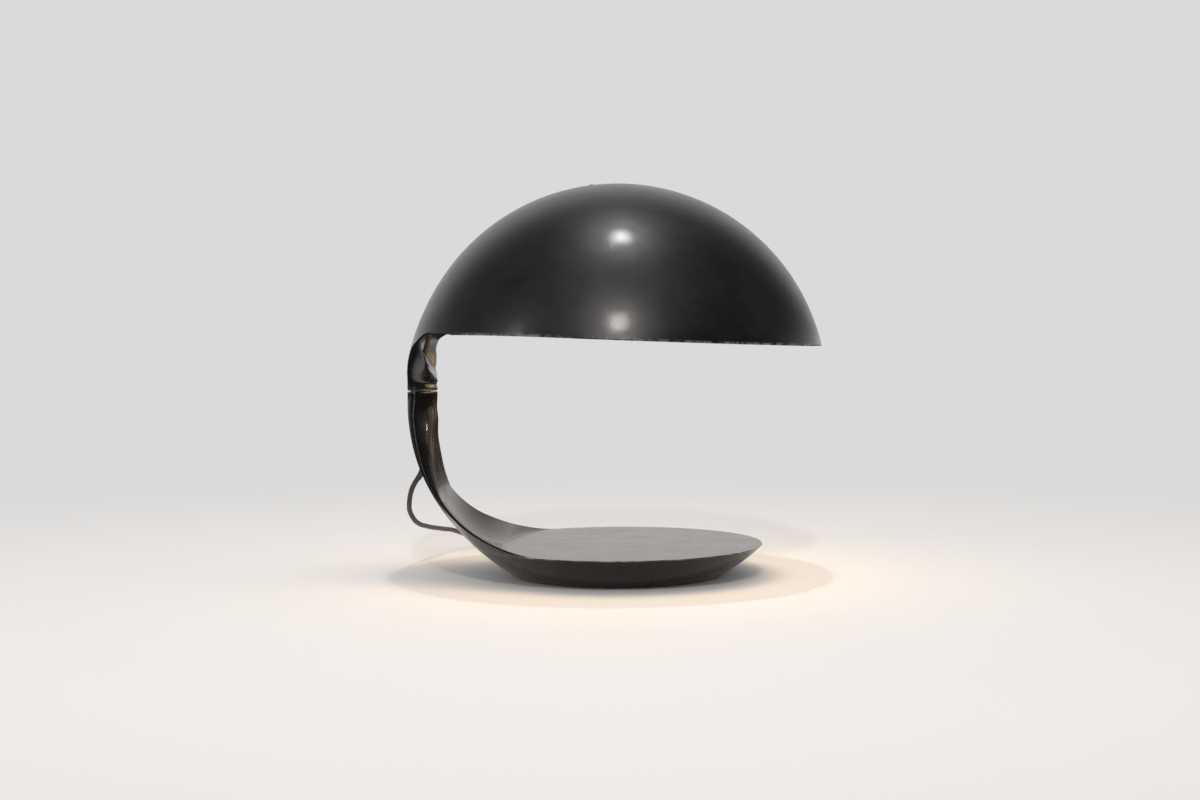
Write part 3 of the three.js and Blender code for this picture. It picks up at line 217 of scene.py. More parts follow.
def lip_at(angle, edge, lip, radius, power):
    width = min(lip / radius, edge)
    if width <= 0:
        return lip
    into = min(max((angle - (edge - width)) / width, 0), 1)
    return lip * (1 - (1 - into ** power) ** (1 / power))


def seam_rings(ring, height, toward, rounding):
    rings = []
    for k in range(7):
        turn = k / 6 * pi / 2
        shrink = 1 - rounding * (1 - sin(turn)) / NECK_R
        z = height + toward * rounding * (1 - cos(turn))
        rings.append([Vector((NECK_X + (p.x - NECK_X) * shrink, p.y * shrink, z)) for p in ring])
    return rings


RIM_R = sqrt(SPHERE ** 2 - (SPHERE_Z - DECK_Z) ** 2) - RIM_TRIM
BLEND_FAN, DECK_FAN = 63, 74.5


def lower_slice(turn):
    return Plane(LOWER_FAN_X, FAN_Z, pi + radians(turn))


def back_at(plane, turn):
    return plane.reach(SPHERE) + between(LOWER_STATIONS, 4, turn)


def front_at(plane, turn):
    return plane.middle + back_at(plane, turn) - between(LOWER_STATIONS, 3, turn)


BLEND_START = ((FAN_Z - DECK_Z) / sin(radians(BLEND_FAN))
               - front_at(lower_slice(BLEND_FAN), BLEND_FAN))


def lower_ring(plane, turn):
    outer_radius = back_at(plane, turn)
    deck = (plane.z - DECK_Z) / -plane.dz if turn > 1 else inf
    foot = ((plane.z - FOOT_Z) / -plane.dz if turn > 1 else inf) - plane.middle
    on_deck = turn >= 90
    half_width = (sqrt(max(RIM_R ** 2 - plane.x ** 2, 0)) if on_deck
                  else between(LOWER_STATIONS, 1, turn))
    edge = asin(half_width / outer_radius)
    front = front_at(plane, turn)
    if turn > BLEND_FAN:
        share = max((DECK_FAN - turn) / (DECK_FAN - BLEND_FAN), 0)
        front = deck - BLEND_START * share ** 2
    base = front - plane.middle
    lip = (outer_radius - base / cos(edge)) / 2 if on_deck else between(LOWER_STATIONS, 2, turn)
    rise = max(base / cos(edge) - (outer_radius - 2 * lip), 0)
    deck_x = plane.x + plane.dx * deck if turn > 1 else inf
    flat = 0
    if turn > DECK_FAN and deck_x < FLARE_X + FLARE_R:
        arc = sqrt(max(FLARE_R ** 2 - (deck_x - FLARE_X) ** 2, 0))
        flat = min(atan(arc / base), edge * 0.96)
    bend = 2 - 0.4 * smooth(60, 76, turn)
    power = 2 + 0.6 * smooth(LIP_START, LIP_END, turn)
    lip_start = max(edge - lip / outer_radius, edge * 0.4)
    foot_angle = acos(foot / outer_radius) if foot < outer_radius else 0

    def outer_at(a):
        return min(outer_radius - lip_at(a, edge, lip, outer_radius, power), foot / cos(a))

    def inner_at(a):
        if a >= edge:
            return outer_at(a)
        into = max((a - flat) / (edge - flat), 0)
        found = base / cos(a) - rise * into ** bend + lip_at(a, edge, lip, outer_radius, power)
        return min(found, outer_at(a))

    outer_half = steps_to([min(foot_angle, edge), max(lip_start, foot_angle), edge], [8, 40, 14])
    inner_half = steps_to([min(flat, lip_start), lip_start, edge], [14, 34, 14])
    roundness = 1 - smooth(0, LOWER_ROUND_END, turn)
    return ring_of(plane, edge, outer_half, inner_half, outer_at, inner_at, roundness)


def lower_rings(fan_steps=120, deck_steps=70):
    rings = []
    for k in range(fan_steps + 1):
        turn = 90 * k / fan_steps
        rings.append(lower_ring(lower_slice(turn), turn))
    for k in range(1, deck_steps + 1):
        x = LOWER_FAN_X + (RIM_R - LOWER_FAN_X) * sin(k / deck_steps * pi / 2)
        rings.append(lower_ring(Plane(x, FAN_Z, 1.5 * pi), 90))
    return seam_rings(rings[0], LOWER_TOP, -1, LOWER_ROUND) + rings[1:]


def rim_at(x):
    return RIM_Z - RIM_SLOPE * x - RIM_DIP * max((-x - 60) / 90, 0) ** 2


def rim_along(plane):
    along = (RIM_Z - plane.z) / plane.dz
    for _ in range(12):
        along = (rim_at(plane.x + plane.dx * along) - plane.z) / plane.dz
    return along


RIM_EDGE = 1.0


def upper_ring(plane, turn, on_dome):
    wall = plane.reach(SPHERE) - plane.reach(SPHERE - WALL)
    swell = 0 if on_dome else between(UPPER_STATIONS, 4, min(turn, 81))
    outer_radius = plane.reach(SPHERE) + swell
    rim = rim_along(Plane(UPPER_FAN_X, DOME_FAN_Z, pi / 2))
    rim_width = sqrt(SPHERE ** 2 - UPPER_FAN_X ** 2 - (DOME_FAN_Z + rim - SPHERE_Z) ** 2)
    widths = UPPER_STATIONS + [(90, rim_width, 1.6, 0, 0)]
    rim_line = rim_along(plane) - plane.middle if on_dome else 0
    edge = (acos(min(rim_line / outer_radius, 1)) if on_dome
            else asin(between(widths, 1, turn) / outer_radius))
    lip = WALL / 2 if on_dome else between(widths, 2, turn)
    extra = 0 if on_dome else between(widths, 3, turn)
    rim_share = 1 if on_dome else smooth(52, 84, turn)
    middle_wall = wall + extra
    edge_wall = max(2 * lip, wall)
    cut_line = outer_radius * cos(edge)
    power = 2 + 0.6 * smooth(LIP_START, LIP_END, turn)
    lip_edge = max(edge - lip / outer_radius, edge * 0.4)
    inner_radius = outer_radius - middle_wall
    cut_angle = acos(cut_line / inner_radius) if cut_line < inner_radius else 0
    stop = lip_edge + (min(cut_angle, edge) - lip_edge) * rim_share

    def draw(a):
        return lip_at(a, edge, edge_wall / 2, outer_radius, power)

    def outer_at(a):
        rim_lip = lip_at(a, edge, RIM_EDGE, outer_radius, 2)
        return outer_radius - draw(a) * (1 - rim_share) - rim_lip * rim_share

    def inner_at(a):
        if a >= edge:
            return outer_at(a)
        share = a / edge if edge > 0 else 0
        rounded = outer_radius - middle_wall - (edge_wall - middle_wall) * share ** 2 + draw(a)
        squared = max(inner_radius, cut_line / cos(a))
        return min(rounded + (squared - rounded) * rim_share, outer_at(a))

    outer_half = steps_to([lip_edge, edge], [56, 14])
    inner_half = steps_to([stop, edge], [52, 12])
    roundness = 0 if on_dome else 1 - smooth(0, UPPER_ROUND_END, turn)
    return ring_of(plane, edge, outer_half, inner_half, outer_at, inner_at, roundness)


def upper_rings(hood_steps=110, dome_steps=90):
    height = UPPER_BOTTOM + UPPER_ROUND
    rings = []
    for k in range(hood_steps + 1):
        turn = 90 * k / hood_steps
        plane = Plane(UPPER_FAN_X, height, pi - radians(turn))
        rings.append(upper_ring(plane, turn, k == hood_steps))
    tip = SPHERE
    for _ in range(12):
        tip = sqrt(SPHERE ** 2 - (rim_at(tip) - SPHERE_Z) ** 2)
    last = atan2(rim_at(tip) - DOME_FAN_Z, tip - UPPER_FAN_X)
    for k in range(1, dome_steps + 1):
        turn = pi / 2 + (last - pi / 2) * sin(k / dome_steps * pi / 2)
        rings.append(upper_ring(Plane(UPPER_FAN_X, DOME_FAN_Z, turn), 90, True))
    return seam_rings(rings[0], UPPER_BOTTOM, 1, UPPER_ROUND) + rings[1:]


# Mesh helpers
def piece_from(name, mesh, body, replaced, look):
    obj = placed(name, mesh)
    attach(obj, body)
    if replaced:
        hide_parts(*replaced)
    mesh.materials.append(look)
    return obj


def smooth_mesh(mesh, angle=35):
    mesh.shade_smooth()
    mesh.set_sharp_from_angle(angle=radians(angle))


def mesh_from(name, points, faces, angle=35):
    bm = bmesh.new()
    corners = [bm.verts.new(Vector(p) * MM) for p in points]
    for face in faces:
        kept = [corners[i] for i in dict.fromkeys(face)]
        if len(kept) > 2:
            bm.faces.new(kept)
    bmesh.ops.remove_doubles(bm, verts=bm.verts, dist=1e-7)
    bmesh.ops.dissolve_degenerate(bm, edges=bm.edges, dist=1e-7)
    bmesh.ops.recalc_face_normals(bm, faces=bm.faces)
    mesh = bpy.data.meshes.new(name)
    bm.to_mesh(mesh)
    bm.free()
    smooth_mesh(mesh, angle)
    return mesh


def skin(rings, first_cap=True, last_cap=False):
    """Points and faces of a closed skin over rings of equal counts."""
    count = len(rings[0])
    points = [p for ring in rings for p in ring]
    faces = []
    for i in range(len(rings) - 1):
        for k in range(count):
            a, b = i * count + k, i * count + (k + 1) % count
            faces.append((a, b, b + count, a + count))
    if first_cap:
        faces.append(tuple(reversed(range(count))))
    if last_cap:
        faces.append(tuple(range((len(rings) - 1) * count, len(rings) * count)))
    return points, faces


def lathe(profile, sides=96):
    """Points and faces of a body turned about Z; the profile goes once round its section."""
    turns = [tau * k / sides for k in range(sides)]
    points = [Vector((r * cos(a), r * sin(a), z)) for a in turns for r, z in profile]
    count = len(profile)
    faces = []
    for k in range(sides):
        here, there = k * count, (k + 1) % sides * count
        for i in range(count):
            ahead = (i + 1) % count
            faces.append((here + i, here + ahead, there + ahead, there + i))
    return points, faces


def disc(radius, low, high):
    return [(0, low), (radius, low), (radius, high), (0, high)]


def moved(shape, matrix):
    points, faces = shape
    return [matrix @ p for p in points], faces


def rod(radius, low, high, sides, place=Matrix.Identity(4)):
    return moved(lathe(disc(radius, low, high), sides), place)


def joined(shapes):
    points, faces = [], []
    for some, more in shapes:
        start = len(points)
        points += some
        faces += [tuple(i + start for i in face) for face in more]
    return points, faces


def carve(obj, shape, operation="DIFFERENCE"):
    """A boolean with a plain body, applied to the mesh."""
    tool = placed("tool", mesh_from("tool", *shape))
    modifier = obj.modifiers.new("cut", "BOOLEAN")
    modifier.operation = operation
    modifier.solver = "EXACT"
    modifier.object = tool
    graph = bpy.context.evaluated_depsgraph_get()
    result = bpy.data.meshes.new_from_object(obj.evaluated_get(graph), depsgraph=graph)
    obj.modifiers.clear()
    obj.data = result
    used = tool.data
    bpy.data.objects.remove(tool)
    bpy.data.meshes.remove(used)


def at(x, y, z):
    return Matrix.Translation((x, y, z))


def turned(angle, axis="Z"):
    return Matrix.Rotation(angle, 4, axis)


ALONG_X, UPRIGHT, HALF_TURN = turned(pi / 2, "Y"), turned(pi / 2, "X"), turned(pi, "X")


def eased(corners, radius, steps=5, on_axis=True):
    """A closed line with rounded corners. With on_axis, corners on the turning axis stay sharp."""
    found = []
    for k, corner in enumerate(corners):
        place = Vector(corner)
        back, ahead = Vector(corners[k - 1]) - place, Vector(corners[(k + 1) % len(corners)]) - place
        wanted = radius[k] if isinstance(radius, (list, tuple)) else radius
        cut = min(wanted, 0.45 * back.length, 0.45 * ahead.length)
        if cut < 0.01 or (on_axis and corner[0] == 0):
            found.append(tuple(corner))
            continue
        start, end = place + back.normalized() * cut, place + ahead.normalized() * cut
        for i in range(steps + 1):
            t = i / steps
            found.append(tuple(start * (1 - t) ** 2 + place * 2 * t * (1 - t) + end * t * t))
    return found


def plate_outline(length, width, corner, steps=8):
    """A rectangle about the origin with round corners."""
    found = []
    for k, (sx, sy) in enumerate(((1, -1), (1, 1), (-1, 1), (-1, -1))):
        for i in range(steps + 1):
            a = pi / 2 * (k - 1 + i / steps)
            found.append((sx * (length / 2 - corner) + corner * cos(a),
                          sy * (width / 2 - corner) + corner * sin(a)))
    return found


def slab(outline, low, high, low_bevel=0.3, high_bevel=0.3, steps=5):
    """An upright body over an outline that runs anticlockwise, with rounded lower and upper edges."""
    def ring(by, z):
        found = []
        for k, place in enumerate(outline):
            ahead = Vector(outline[(k + 1) % len(outline)]) - Vector(outline[k - 1])
            out = Vector((ahead.y, -ahead.x)).normalized()
            found.append(Vector((place[0] - out.x * by, place[1] - out.y * by, z)))
        return found

    turns = [k / steps * pi / 2 for k in range(steps + 1)]
    rings = [ring(low_bevel * (1 - sin(a)), low + low_bevel * (1 - cos(a))) for a in turns]
    rings += [ring(high_bevel * (1 - sin(a)), high - high_bevel * (1 - cos(a)))
              for a in reversed(turns)]
    return skin(rings, True, True)


def tube(line, radius_at, sides=24):
    """A closed tube along a line; its radius depends on the share of the line."""
    rings, side = [], None
    for k, place in enumerate(line):
        along = (line[min(k + 1, len(line) - 1)] - line[max(k - 1, 0)]).normalized()
        if side is None:
            side = Vector((0, 1, 0)) if abs(along.y) < 0.99 else Vector((0, 0, 1))
        side = (side - along * side.dot(along)).normalized()
        lift = along.cross(side)
        radius = radius_at(k / (len(line) - 1))
        rings.append([place + (side * cos(a) + lift * sin(a)) * radius
                      for a in (tau * i / sides for i in range(sides))])
    return skin(rings, True, True)


def evenly(line, steps):
    """A line cut into equal steps."""
    total = length_of(line)
    return [line[0]] + [part_of(line, 0, total * k / steps)[-1] for k in range(1, steps)] + [line[-1]]


def fitting(name, shape, body, slot, replaced=(), place=Matrix.Identity(4), cuts=(), angle=35):
    obj = piece_from(name, mesh_from(name, *moved(shape, place), angle), body, replaced, LOOKS[slot])
    if cuts:
        carve(obj, moved(joined(cuts), place))
        smooth_mesh(obj.data, angle)
    return obj


def screw_shape(head, height, shank, length):
    """A domed screw, its head up and the underside of the head at zero, with rings for its thread."""
    profile = [(0, -length), (shank * 0.6, -length)]
    pitch = shank * 0.55
    z = -length + pitch
    while z < -pitch * 1.5:
        profile += [(shank, z), (shank * 0.82, z + pitch / 2)]
        z += pitch
    profile += [(shank, z), (shank, 0), (head - 0.1, 0), (head, 0.1), (head, height * 0.4)]
    for k in range(1, 7):
        turn = k / 6 * pi / 2
        profile.append((head * cos(turn), height * (0.4 + 0.6 * sin(turn))))
    profile[-1] = (0, height)
    return lathe(profile, 48)


def slotted(name, head, height, shank, length, body, slot, replaced, place):
    depth, width = height * 0.45, max(head * 0.26, 0.6)
    cut = slab(plate_outline(2 * head + 1, width, width * 0.1, 2), height - depth, height + 1, 0, 0, 1)
    return fitting(name, screw_shape(head, height, shank, length), body, slot, replaced, place, [cut], 30)


# Free cord: the route of the solids, as one line from the neck to the switch and one on to the plug
SWITCH_Z = SWITCH_SIZE.z / 2
LEFT_X, RIGHT_X = SWITCH.x - SWITCH_SIZE.x / 2, SWITCH.x + SWITCH_SIZE.x / 2
FIRST_ROUTE = [
    (NECK_X, 0, RELIEF_TOP), (NECK_X, 0, 112), (-195.3, 0.6, 104.5), (-198.4, 3.5, 99.2), (-202.9, 7, 93.4),
    (-207.2, 11.6, 86.4), (-210.4, 18.5, 78.9), (-213.1, 29, 69.4), (-214.9, 44, 59.2), (-212.8, 64, 47.7),
    (-209.6, 84, 41), (-205.9, 103, 37.1), (-202, 122, 33.5), (-198, 141, 30.6), (-193.7, 159, 27.6),
    (-189.2, 176, 25.1), (-185.6, 190, 22.2), (-179.5, 206, 17.6), (-170, 219, 12), (-157, 228, 6.6),
    (-143, 232, 3.6), (-130, SWITCH.y, 4.4), (LEFT_X - 7, SWITCH.y, SWITCH_Z),
    (LEFT_X - 0.3, SWITCH.y, SWITCH_Z),
]
SECOND_ROUTE = [
    (RIGHT_X + 0.3, SWITCH.y, SWITCH_Z), (RIGHT_X + 4, SWITCH.y, SWITCH_Z),
    (RIGHT_X + 15, SWITCH.y, 5.2), (RIGHT_X + 28, SWITCH.y, 3),
    (COIL_X - 2 * CORD_R - 8, SWITCH.y, COIL_Z), (COIL_X - 2 * CORD_R, SWITCH.y, COIL_Z),
]
COIL_TOP = COIL_Z + COIL_LAYER
THIRD_ROUTE = [
    (COIL_X + 2 * CORD_R, SWITCH.y, COIL_TOP), (COIL_X + 2 * CORD_R + 4, SWITCH.y, COIL_TOP),
    (COIL_X + 20, SWITCH.y - 0.6, 7), (COIL_X + 34, SWITCH.y - 3.5, 5),
    (COIL_X + 49, SWITCH.y - 10, 4.2), (COIL_X + 60, SWITCH.y - 19, 5.2),
    (PLUG.x, PLUG.y + PLUG_SIZE.y / 2 + 6, PLUG_Z),
    (PLUG.x, PLUG.y + PLUG_SIZE.y / 2 + 0.3, PLUG_Z),
]


def centripetal(stops, per_step=12):
    """The centripetal Catmull-Rom line that the solids' cord follows."""
    stops = [Vector(p) for p in stops]
    stops = [2 * stops[0] - stops[1]] + stops + [2 * stops[-1] - stops[-2]]
    line = []
    for i in range(1, len(stops) - 2):
        p = stops[i - 1:i + 3]
        t = [0]
        for a, b in zip(p, p[1:]):
            t.append(t[-1] + max((b - a).length, 1e-6) ** 0.5)
        for k in range(per_step):
            u = t[1] + (t[2] - t[1]) * k / per_step

            def blend(a, b, ta, tb):
                return a * ((tb - u) / (tb - ta)) + b * ((u - ta) / (tb - ta))

            one = [blend(p[j], p[j + 1], t[j], t[j + 1]) for j in range(3)]
            two = [blend(one[j], one[j + 1], t[j], t[j + 2]) for j in range(2)]
            line.append(blend(two[0], two[1], t[1], t[2]))
    return line + [stops[-2]]


def length_of(line):
    return sum((b - a).length for a, b in zip(line, line[1:]))


def part_of(line, start, end):
    """The stretch of a line between two lengths along it."""
    found, run = [], 0
    for a, b in zip(line, line[1:]):
        step = (b - a).length
        for at_length in (start, end):
            if run <= at_length < run + step:
                found.append((at_length, a.lerp(b, (at_length - run) / step)))
        run += step
        if start < run < end:
            found.append((run, b))
    if end >= run and found[-1][1] != line[-1]:
        found.append((run, line[-1]))
    return [p for _, p in sorted(found, key=lambda pair: pair[0])]


def coil_line(per_turn=48):
    inner = COIL_R - COIL_TURNS * COIL_PITCH
    line = []
    total = 2 * COIL_TURNS + 0.5
    for k in range(int(total * per_turn) + 1):
        turn = k / per_turn
        radius, z = COIL_R - turn * COIL_PITCH, COIL_Z
        if turn > COIL_TURNS:
            climb = min((turn - COIL_TURNS) / 0.5, 1)
            radius = inner - COIL_PITCH * min(climb, 1 - climb) / 2
            z = COIL_Z + COIL_LAYER * (3 * climb ** 2 - 2 * climb ** 3)
        if turn > COIL_TURNS + 0.5:
            radius = inner + (turn - COIL_TURNS - 0.5) * COIL_PITCH
        angle = pi / 2 - tau * turn
        line.append(Vector((COIL_X + radius * cos(angle), COIL_Y + radius * sin(angle), z)))
    return line


first_line = centripetal(FIRST_ROUTE)
relief_line = part_of(first_line, 0, RELIEF_LENGTH)
first_cord = part_of(first_line, RELIEF_LENGTH + 0.3, length_of(first_line) + 1)
second_cord = centripetal(SECOND_ROUTE)[:-1] + coil_line() + centripetal(THIRD_ROUTE)


def cord_curve(name, line):
    data = bpy.data.curves.new(name, "CURVE")
    data.dimensions = "3D"
    data.bevel_depth = 1
    data.bevel_resolution = 5
    data.use_fill_caps = True
    spline = data.splines.new("POLY")
    spline.points.add(len(line) - 1)
    for point, place in zip(spline.points, line):
        point.co = (*(place * MM), 1)
        point.radius = CORD_R * MM
    spline.use_smooth = True
    return data


# Materials
class Nodes:
    """Short ways to build a node tree. A value is a constant or the socket that feeds it."""

    def __init__(self, tree):
        self.tree = tree

    def feed(self, socket, value):
        if isinstance(value, bpy.types.NodeSocket):
            self.tree.links.new(value, socket)
        elif socket.type == "RGBA":
            socket.default_value = (*value, 1)
        else:
            socket.default_value = value

    def node(self, kind, inputs=None, **settings):
        made = self.tree.nodes.new("ShaderNode" + kind)
        for key, value in settings.items():
            setattr(made, key, value)
        for key, value in (inputs or {}).items():
            self.feed(made.inputs[key], value)
        return made

    def ramp(self, value, low, high, start=0.0, end=1.0, kind="LINEAR"):
        inputs = {"Value": value, "From Min": low, "From Max": high, "To Min": start, "To Max": end}
        return self.node("MapRange", inputs, interpolation_type=kind).outputs["Result"]

    def reckon(self, operation, one, other):
        return self.node("Math", {0: one, 1: other}, operation=operation).outputs[0]

    def times(self, one, other):
        return self.reckon("MULTIPLY", one, other)

    def plus(self, one, other):
        return self.reckon("ADD", one, other)

    def mix(self, share, one, other):
        """A mix of two colours, at the node's own places for colours."""
        return self.node("Mix", {0: share, 6: one, 7: other}, data_type="RGBA").outputs[2]

    def mix_shaders(self, share, one, other):
        return self.node("MixShader", {0: share, 1: one, 2: other}).outputs[0]


class Look(Nodes):
    """A procedural material made of object-space noises."""

    def __init__(self, name, colour, roughness, metallic=0.0, **sockets):
        self.material = bpy.data.materials.new(name)
        self.material.use_nodes = True
        super().__init__(self.material.node_tree)
        self.shader = self.tree.nodes["Principled BSDF"]
        self.set(Base_Color=colour, Roughness=roughness, Metallic=metallic, **sockets)
        self.place = self.node("TexCoord").outputs["Object"]
        self.normal = None

    def set(self, **sockets):
        """Feeds the shader's sockets; an underscore stands for a space in a socket's name."""
        for key, value in sockets.items():
            self.feed(self.shader.inputs[key.replace("_", " ")], value)

    def noise(self, scale, detail=3, rough=0.5, stretch=(1, 1, 1), turn=(0, 0, 0), distortion=0):
        mapping = self.node("Mapping", {"Vector": self.place, "Scale": stretch, "Rotation": turn})
        inputs = {"Vector": mapping.outputs["Vector"], "Scale": scale, "Detail": detail,
                  "Roughness": rough, "Distortion": distortion}
        return self.node("TexNoise", inputs).outputs["Fac"]

    def attribute(self, name):
        return self.node("Attribute", attribute_name=name).outputs["Fac"]

    def bump(self, height, distance, strength=1.0):
        inputs = {"Height": height, "Distance": distance, "Strength": strength}
        if self.normal is not None:
            inputs["Normal"] = self.normal
        self.normal = self.node("Bump", inputs).outputs["Normal"]
        self.set(Normal=self.normal, Coat_Normal=self.normal)


# Change of roughness where the resin is handled and wiped, and what is left of the grain on the neck
DECK_POLISH, NECK_POLISH, NECK_GRAIN = -0.07, -0.17, 0.06


def resin_look(name, rough_low, rough_high, grain, coat, coat_rough, level, dust):
    """Aged black resin: cloudy tone, a thin polish, fine scratches and dust, and wear on its edges, lightened
    and warmed so that it is also a painted glint of the lamp on the rims.
    """
    look = Look(name, (0.007, 0.0069, 0.0072), rough_high, Coat_Weight=coat, Coat_Roughness=coat_rough,
                Coat_IOR=1.45, Specular_IOR_Level=level, Sheen_Weight=dust, Sheen_Roughness=0.4,
                Sheen_Tint=(1.0, 0.66, 0.40))
    clouds = look.noise(9, 5, 0.6, distortion=0.6)
    patches = look.noise(34, 6, 0.62)
    rubbed = look.noise(24, 5, 0.65, (1, 1, 16))
    specks = look.noise(330, 3, 0.6)
    tone = look.mix(look.ramp(clouds, 0.35, 0.7), (0.0030, 0.0029, 0.0031), (0.0062, 0.0060, 0.0060))
    tone = look.mix(look.ramp(patches, 0.5, 0.75, 0, 0.5), tone, (0.011, 0.0104, 0.0100))
    tone = look.mix(look.ramp(specks, 0.60, 0.72, 0, 0.35), tone, (0.022, 0.0205, 0.0195))
    scratches = [look.noise(60, 2, 0.4, (1, 28, 4), (0.3, 0.5, 0.9)),
                 look.noise(60, 2, 0.4, (22, 1, 3), (1.1, 0.2, 0.35))]
    lines = look.plus(*[look.ramp(s, 0.68, 0.74) for s in scratches])
    tone = look.mix(look.times(lines, 0.3), tone, (0.034, 0.032, 0.031))
    deck = look.attribute("deck")
    neck = look.attribute("neck")
    tone = look.mix(look.times(deck, look.ramp(clouds, 0.3, 0.7, 0.6, 1)), tone, (0.031, 0.026, 0.0225))
    # Painted glint: worn chips on the rims and at the seam, in a light warm tone that also stands for the
    # lamp's glint on the rounded rim
    worn_chips_and_glint = look.times(look.ramp(look.attribute("edge"), 0.35, 0.9),
                       look.ramp(look.noise(120, 5, 0.65), 0.44, 0.60))
    tone = look.mix(look.times(worn_chips_and_glint, 0.85), tone, (0.26, 0.22, 0.18))
    look.set(Base_Color=tone)
    rough = look.ramp(patches, 0.3, 0.75, rough_low, rough_high)
    for more in (look.ramp(rubbed, 0.3, 0.7, 0, 0.06), look.times(lines, 0.08),
                 look.times(neck, NECK_POLISH), look.times(deck, DECK_POLISH)):
        rough = look.plus(rough, more)
    look.set(Roughness=rough)
    rest = look.ramp(neck, 0, 1, 1, NECK_GRAIN)
    look.bump(look.times(look.noise(1100, 2, 0.5), rest), 0.00003 * grain, 0.5)
    look.bump(look.times(look.noise(800, 3, 0.6), rest), 0.00015 * grain, 0.8)
    look.bump(rubbed, 0.0002, 0.10 * grain)
    look.bump(patches, 0.0003, 0.10 * grain)
    return look.material


def metal_look(name, colour, roughness, fine=(1, 1, 1), wear=0.2):
    look = Look(name, colour, roughness, 1.0)
    grain = look.noise(700, 3, 0.6, fine)
    cloud = look.noise(60, 4, 0.6)
    dark = tuple(c * (1 - wear) for c in colour)
    look.set(Base_Color=look.mix(look.ramp(cloud, 0.35, 0.7), colour, dark),
             Roughness=look.plus(look.ramp(grain, 0.3, 0.7, roughness * 0.8, roughness * 1.2),
                                 look.ramp(cloud, 0.4, 0.8, 0, 0.12)))
    look.bump(grain, 0.00002, 0.5)
    return look.material


def plastic_look(name, colour, roughness):
    look = Look(name, colour, roughness)
    cloud = look.noise(45, 4, 0.6)
    light = tuple(min(c * 1.5 + 0.004, 1) for c in colour)
    look.set(Base_Color=look.mix(look.ramp(cloud, 0.4, 0.75, 0, 0.7), colour, light),
             Roughness=look.ramp(cloud, 0.3, 0.75, roughness * 0.88, roughness * 1.15))
    look.bump(look.noise(900, 3, 0.6), 0.00004, 0.6)
    return look.material


def opal_look():
    """White opal sheet, lit from behind: brightest under the bulb."""
    look = Look("opal", (0.86, 0.84, 0.79), 0.42, Emission_Strength=1.7)
    cloud = look.noise(30, 3, 0.5)
    split = look.node("VectorMath", {0: look.place, 1: (0.03, 0, 0.25)}, operation="DISTANCE")
    near = look.ramp(split.outputs["Value"], 0.0, 0.2, 1, 0)
    look.set(Base_Color=look.mix(look.ramp(cloud, 0.35, 0.7), (0.86, 0.84, 0.79), (0.82, 0.79, 0.73)),
             Roughness=look.ramp(cloud, 0.3, 0.7, 0.38, 0.46),
             Emission_Color=look.mix(near, (0.86, 0.56, 0.28), (1.0, 0.78, 0.50)))
    return look.material


def glass_look():
    look = Look("bulb_glass", (0.93, 0.89, 0.80), 0.18, Emission_Color=(1.0, 0.82, 0.58), Emission_Strength=1.0)
    look.bump(look.noise(50, 2, 0.5), 0.0002, 0.1)
    return look.material


def iron_look():
    look = Look("iron", (0.10, 0.096, 0.092), 0.72, 0.7)
    pits = look.noise(220, 6, 0.7)
    look.set(Base_Color=look.mix(look.ramp(pits, 0.35, 0.7), (0.07, 0.068, 0.066), (0.16, 0.15, 0.14)))
    look.bump(pits, 0.0004, 0.8)
    return look.material


def felt_look():
    look = Look("felt", (0.035, 0.038, 0.035), 0.95, Sheen_Weight=0.5, Sheen_Roughness=0.5)
    fibres = look.noise(900, 6, 0.75, (1, 1, 0.4))
    long_fibres = look.noise(240, 5, 0.7, (6, 1, 1), (0, 0, 0.7), 1.5)
    both = look.plus(look.times(fibres, 0.6), look.times(long_fibres, 0.4))
    look.set(Base_Color=look.mix(look.ramp(both, 0.35, 0.68), (0.022, 0.025, 0.022), (0.07, 0.075, 0.07)))
    look.bump(both, 0.0006, 0.9)
    return look.material


def rubber_look():
    """Dark grey cord sheath, dusty and a little brown where it lies low."""
    look = Look("cord_rubber", (0.05, 0.048, 0.045), 0.55)
    dust = look.noise(70, 5, 0.65)
    low = look.ramp(look.node("SeparateXYZ", {0: look.place}).outputs["Z"], 0.07, 0.03)
    tone = look.mix(look.ramp(dust, 0.35, 0.7), (0.032, 0.031, 0.030), (0.062, 0.060, 0.056))
    look.set(Base_Color=look.mix(look.times(low, 0.75), tone, (0.105, 0.088, 0.070)),
             Roughness=look.ramp(dust, 0.3, 0.7, 0.45, 0.62))
    look.bump(look.noise(1500, 3, 0.6), 0.00004, 0.5)
    return look.material


def porcelain_look():
    look = Look("porcelain", (0.80, 0.77, 0.70), 0.2)
    specks = look.noise(300, 4, 0.6)
    look.set(Base_Color=look.mix(look.ramp(specks, 0.62, 0.75), (0.80, 0.77, 0.70), (0.62, 0.58, 0.50)))
    look.bump(look.noise(60, 2, 0.5), 0.0002, 0.2)
    return look.material


FOOT_RESIN = resin_look("resin_foot", 0.20, 0.28, 0.06, 0.42, 0.07, 0.12, 0.04)
LOOKS = {
    "resin": resin_look("resin", 0.36, 0.45, 0.7, 0.40, 0.11, 0.95, 0.0),
    "steel": metal_look("steel", (0.50, 0.50, 0.51), 0.34, (1, 1, 9)),
    "brass": metal_look("brass", (0.62, 0.47, 0.24), 0.3, (1, 1, 9), 0.3),
    "nickel": metal_look("nickel", (0.66, 0.65, 0.62), 0.2),
    "black_plastic": plastic_look("black_plastic", (0.022, 0.022, 0.023), 0.48),
    "porcelain": porcelain_look(),
    "opal": opal_look(),
    "bulb_glass": glass_look(),
    "iron": iron_look(),
    "felt": felt_look(),
    "cord_rubber": rubber_look(),
}
for part in frame["record"]["subparts"]:
    node = cad[part["node"]]
    node.data.materials.clear()
    node.data.materials.append(LOOKS[part["material_slot"]])


